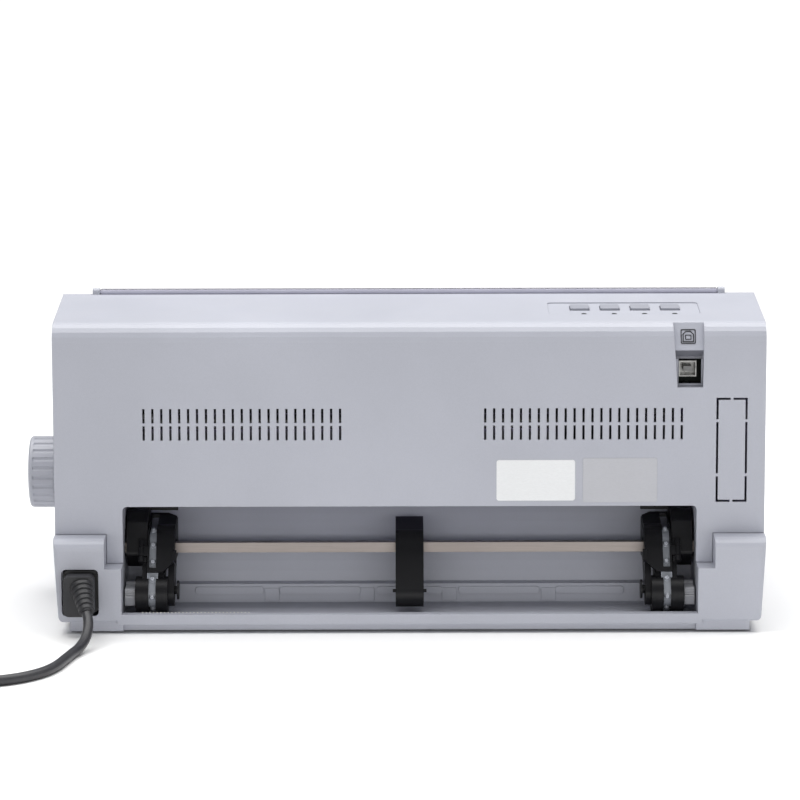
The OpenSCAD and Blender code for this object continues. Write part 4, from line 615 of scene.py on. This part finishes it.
def add_piece(name, bm, look, bevel=0.0):
    """A mesh piece that rides on the chassis, with its edges bevelled by a width in mm."""
    mesh = bpy.data.meshes.new(name)
    bmesh.ops.recalc_face_normals(bm, faces=bm.faces)
    bm.to_mesh(mesh)
    bm.free()
    mesh.materials.append(look)
    obj = add_object(name, mesh)
    if bevel:
        mod = obj.modifiers.new("edge", "BEVEL")
        mod.width, mod.segments, mod.limit_method = bevel * MM, 2, "ANGLE"
        mod.angle_limit = BEVEL_ANGLE
    mesh.shade_smooth()
    mesh.set_sharp_from_angle(angle=SMOOTH_ANGLE)
    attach(obj, "chassis")


def surface(at, right, out):
    """A matrix at a point in mm with x along right and z along out, scaled to metres."""
    x, z = Vector(right).normalized(), Vector(out).normalized()
    y = z.cross(x)
    turn = Matrix((x, y, z)).transposed().to_4x4()
    return Matrix.Translation(Vector(at) * MM) @ turn @ Matrix.Scale(MM, 4)


def rounded_outline(w, h, r, steps=6):
    """Corner-rounded rectangle about the origin, anticlockwise."""
    points = []
    for cx, cy, start in ((w / 2 - r, h / 2 - r, 0), (-w / 2 + r, h / 2 - r, 90),
                          (-w / 2 + r, -h / 2 + r, 180), (w / 2 - r, -h / 2 + r, 270)):
        for k in range(steps + 1):
            x, y = on_circle(r, math.radians(start + 90 * k / steps))
            points.append((cx + x, cy + y))
    return points


def add_prism(bm, outline, place, z0, z1):
    """A prism over an outline in the plane of place, a matrix whose z is out of the surface."""
    low = [bm.verts.new(place @ Vector((x, y, z0))) for x, y in outline]
    high = [bm.verts.new(place @ Vector((x, y, z1))) for x, y in outline]
    bm.faces.new(list(reversed(low)))
    bm.faces.new(high)
    count = len(outline)
    for i in range(count):
        j = (i + 1) % count
        bm.faces.new((low[i], low[j], high[j], high[i]))


def add_band(bm, outer, inner, place, z0, z1):
    """A closed band between two outlines that have the same count of points."""
    rows = []
    for far, near in zip(outer, inner):
        rows.append([bm.verts.new(place @ Vector((*p, z))) for p, z in
                     ((far, z0), (far, z1), (near, z1), (near, z0))])
    for a, b in zip(rows, rows[1:] + rows[:1]):
        for k in range(4):
            bm.faces.new((a[k], b[k], b[(k + 1) % 4], a[(k + 1) % 4]))


def add_turned(bm, profile, place, steps):
    """A solid turned about the z axis of place, from points of radius and height."""
    rings = []
    for r, z in profile:
        angles = [2 * math.pi * k / steps for k in range(steps if r else 1)]
        rings.append([bm.verts.new(place @ Vector((*on_circle(r, a), z))) for a in angles])
    for a, b in zip(rings, rings[1:]):
        for k in range(steps):
            j = (k + 1) % steps
            if len(a) == 1:
                bm.faces.new((a[0], b[k], b[j]))
            elif len(b) == 1:
                bm.faces.new((a[k], b[0], a[j]))
            else:
                bm.faces.new((a[k], b[k], b[j], a[j]))


# Two bare label plates on the rear face: name, slot, middle (x, z), size, corner, film
LABELS = (
    ("label_plate_white", "nylon", (-87.45, 103.5), (54.5, 28.6), 1.8,
     ("label_film_white", (0.80, 0.81, 0.82), 0.35, 1.5e-4)),
    ("label_plate_silver", "button_grey", (-145.75, 103.5), (51.5, 31.0), 1.2,
     ("label_film_silver", (0.47, 0.475, 0.51), 0.33, 1.2e-4)),
)
LABEL_PROUD = 0.22


def build_labels():
    for name, slot_name, (x, z), size, corner, look in LABELS:
        bm = bmesh.new()
        place = surface((x, REAR_Y, z), (-1, 0, 0), (0, 1, 0))
        add_prism(bm, rounded_outline(*size, corner), place, -SUNK, LABEL_PROUD)
        add_piece(name, bm, film(*look), bevel=0.08)


# The slanted face above the USB port carries a raised outline of the port's own shape
SLANT_LOW, SLANT_HIGH = Vector((0, 153.0, 194.0)), Vector((0, 145.6, 212.7))
MARK_X = -192.4
MARK_UP = 9.6                    # from the slant's lower edge to the mark's middle
MARK_SUNK, MARK_PROUD = 0.1, 0.35
PIN_SHIFT = -0.5                 # the innermost band lies below the middle


def port_outline(w, h, cut):
    """A rectangle with two cut upper corners, as a square plug has."""
    return [(-w / 2, -h / 2), (w / 2, -h / 2), (w / 2, h / 2 - cut), (w / 2 - cut, h / 2),
            (-w / 2 + cut, h / 2), (-w / 2, h / 2 - cut)]


def build_port_mark():
    along = (SLANT_HIGH - SLANT_LOW).normalized()
    middle = SLANT_LOW + along * MARK_UP
    right = Vector((-1, 0, 0))
    place = surface((MARK_X, middle.y, middle.z), right, right.cross(along))
    bands = (
        (rounded_outline(10.4, 10.4, 0.8, 2), rounded_outline(9.0, 9.0, 0.5, 2), 0.0),
        (port_outline(7.8, 8.0, 2.2), port_outline(6.4, 6.6, 1.8), 0.0),
        (rounded_outline(4.4, 3.6, 0.3, 2), rounded_outline(3.2, 2.4, 0.2, 2), PIN_SHIFT),
    )
    bm = bmesh.new()
    for outer, inner, shift in bands:
        add_band(bm, outer, inner, place @ Matrix.Translation((0, shift, 0)),
                 -MARK_SUNK, MARK_PROUD)
    add_piece("port_mark", bm, LOOK["mark"], bevel=0.06)


# Lamps: a dark, unlit lens in each hole of the control field, on the sloping roof
ROOF_EDGE_Z = 211.5              # the roof's height at the rear face
ROOF_SLOPE = math.atan(11.0 / 93.0)
LAMPS = 4
LAMP_X, LAMP_Y, LAMP_STEP = -122.0, 120.5, 21.1
LENS_PROFILE = ((0.0, -0.15), (0.8, -0.22), (1.4, -0.45), (1.82, -0.9), (1.82, -2.4),
                (0.0, -2.4))
LENS_SIDES = 24


def lens_look():
    t = Tree("lamp_lens")
    cloud = t.noise(400.0, 2.0)
    return t.done(t.stuff(cloud, ((0.022, 0.026, 0.025), (0.034, 0.040, 0.038)),
                          cloud, (0.40, 0.50), 8e-6, Specular_IOR_Level=0.12))


def build_lenses():
    look = lens_look()
    normal = Vector((0, math.sin(ROOF_SLOPE), math.cos(ROOF_SLOPE)))
    z = ROOF_EDGE_Z + (REAR_Y - LAMP_Y) * math.tan(ROOF_SLOPE)
    for i in range(LAMPS):
        bm = bmesh.new()
        place = surface((LAMP_X - LAMP_STEP * i, LAMP_Y, z), (1, 0, 0), normal)
        add_turned(bm, LENS_PROFILE, place, LENS_SIDES)
        add_piece(f"lamp_lens_{i + 1}", bm, look)


# A scale of tenths of an inch along the rail, for setting the tractors
TICKS = 30
TICK_STEP = 2.54
TICK_W, TICK_PROUD = 1.0, 0.4
LONG_EVERY = 5
SHORT_TICK, LONG_TICK = (1.2, 0.5), (1.9, 0.75)     # length, and its middle behind SCALE_Y
SCALE_X, SCALE_Y, RAIL_Z = 185.0, 168.3, 13.4


def build_scale():
    bm = bmesh.new()
    for i in range(TICKS):
        length, back = SHORT_TICK if i % LONG_EVERY else LONG_TICK
        at = (SCALE_X - TICK_STEP * i, SCALE_Y + back, RAIL_Z)
        place = surface(at, (1, 0, 0), (0, 0, 1))
        add_prism(bm, rounded_outline(TICK_W, length, 0.2, 2), place, -SUNK, TICK_PROUD)
    add_piece("rail_scale", bm, LOOK["nylon"], bevel=0.05)


build_labels()
build_port_mark()
build_lenses()
build_scale()


# ---------------------------------------------------------------------------------------------
# Floor and light
# ---------------------------------------------------------------------------------------------
FLOOR_R = 1.45
FLOOR_SIDES = 96
SEEN_WHITE = 1.1                 # strength of the background that the camera sees
SKY = 0.22                       # strength of the sky's light
SKY_COLOUR = (0.95, 0.97, 1.0)
LAMP_COLOUR = (1.0, 0.995, 0.985)
LIGHTS = (
    # name, place, aim, size along x and across, watts
    ("soft_top_front", (0.0, -0.8, 2.2), (0.0, -0.6, 0.0), (3.6, 2.0), 69.0),
    ("soft_top_rear", (0.0, 0.3, 2.2), (0.0, 0.2, 0.0), (3.6, 1.0), 39.0),
    ("soft_low", (0.0, 3.4, 0.35), (0.0, 0.1, 0.1), (6.0, 0.6), 42.0),
)


def build_floor():
    t = Tree("studio_floor")
    base = t.ramp(t.noise(0.6, 3.0), grey(0.945), grey(0.96))
    look = t.done(t.shader(base, t.span(t.noise(4.0, 3.0), (0.75, 0.85)), None,
                           Specular_IOR_Level=0.2))
    mesh = bpy.data.meshes.new("studio_floor")
    rim = [(*on_circle(FLOOR_R, 2 * math.pi * k / FLOOR_SIDES), 0) for k in range(FLOOR_SIDES)]
    mesh.from_pydata(rim, [], [tuple(range(FLOOR_SIDES))])
    mesh.materials.append(look)
    add_object("studio_floor", mesh)


def build_world():
    """White behind the object for the camera, and a dimmer, even sky for the light."""
    world = bpy.data.worlds.new("soft_sky")
    scene.world = world
    world.use_nodes = True
    nodes, links = world.node_tree.nodes, world.node_tree.links
    seen, sky = nodes["Background"], nodes.new("ShaderNodeBackground")
    for node, colour, strength in ((seen, grey(1.0), SEEN_WHITE), (sky, SKY_COLOUR, SKY)):
        node.inputs["Color"].default_value = (*colour, 1.0)
        node.inputs["Strength"].default_value = strength
    ray, mix = nodes.new("ShaderNodeLightPath"), nodes.new("ShaderNodeMixShader")
    wires = (ray.outputs["Is Camera Ray"], sky.outputs[0], seen.outputs[0])
    for out, socket in zip(wires, mix.inputs):
        links.new(out, socket)
    links.new(mix.outputs[0], nodes["World Output"].inputs["Surface"])


def build_lights():
    for name, at, aim, size, watts in LIGHTS:
        data = bpy.data.lights.new(name, "AREA")
        data.shape = "RECTANGLE"
        data.size, data.size_y = size
        data.energy = watts
        data.color = LAMP_COLOUR
        lamp = add_object(name, data)
        lamp.location = at
        lamp.rotation_euler = (Vector(aim) - Vector(at)).to_track_quat("-Z", "Y").to_euler()


build_floor()
build_world()
build_lights()
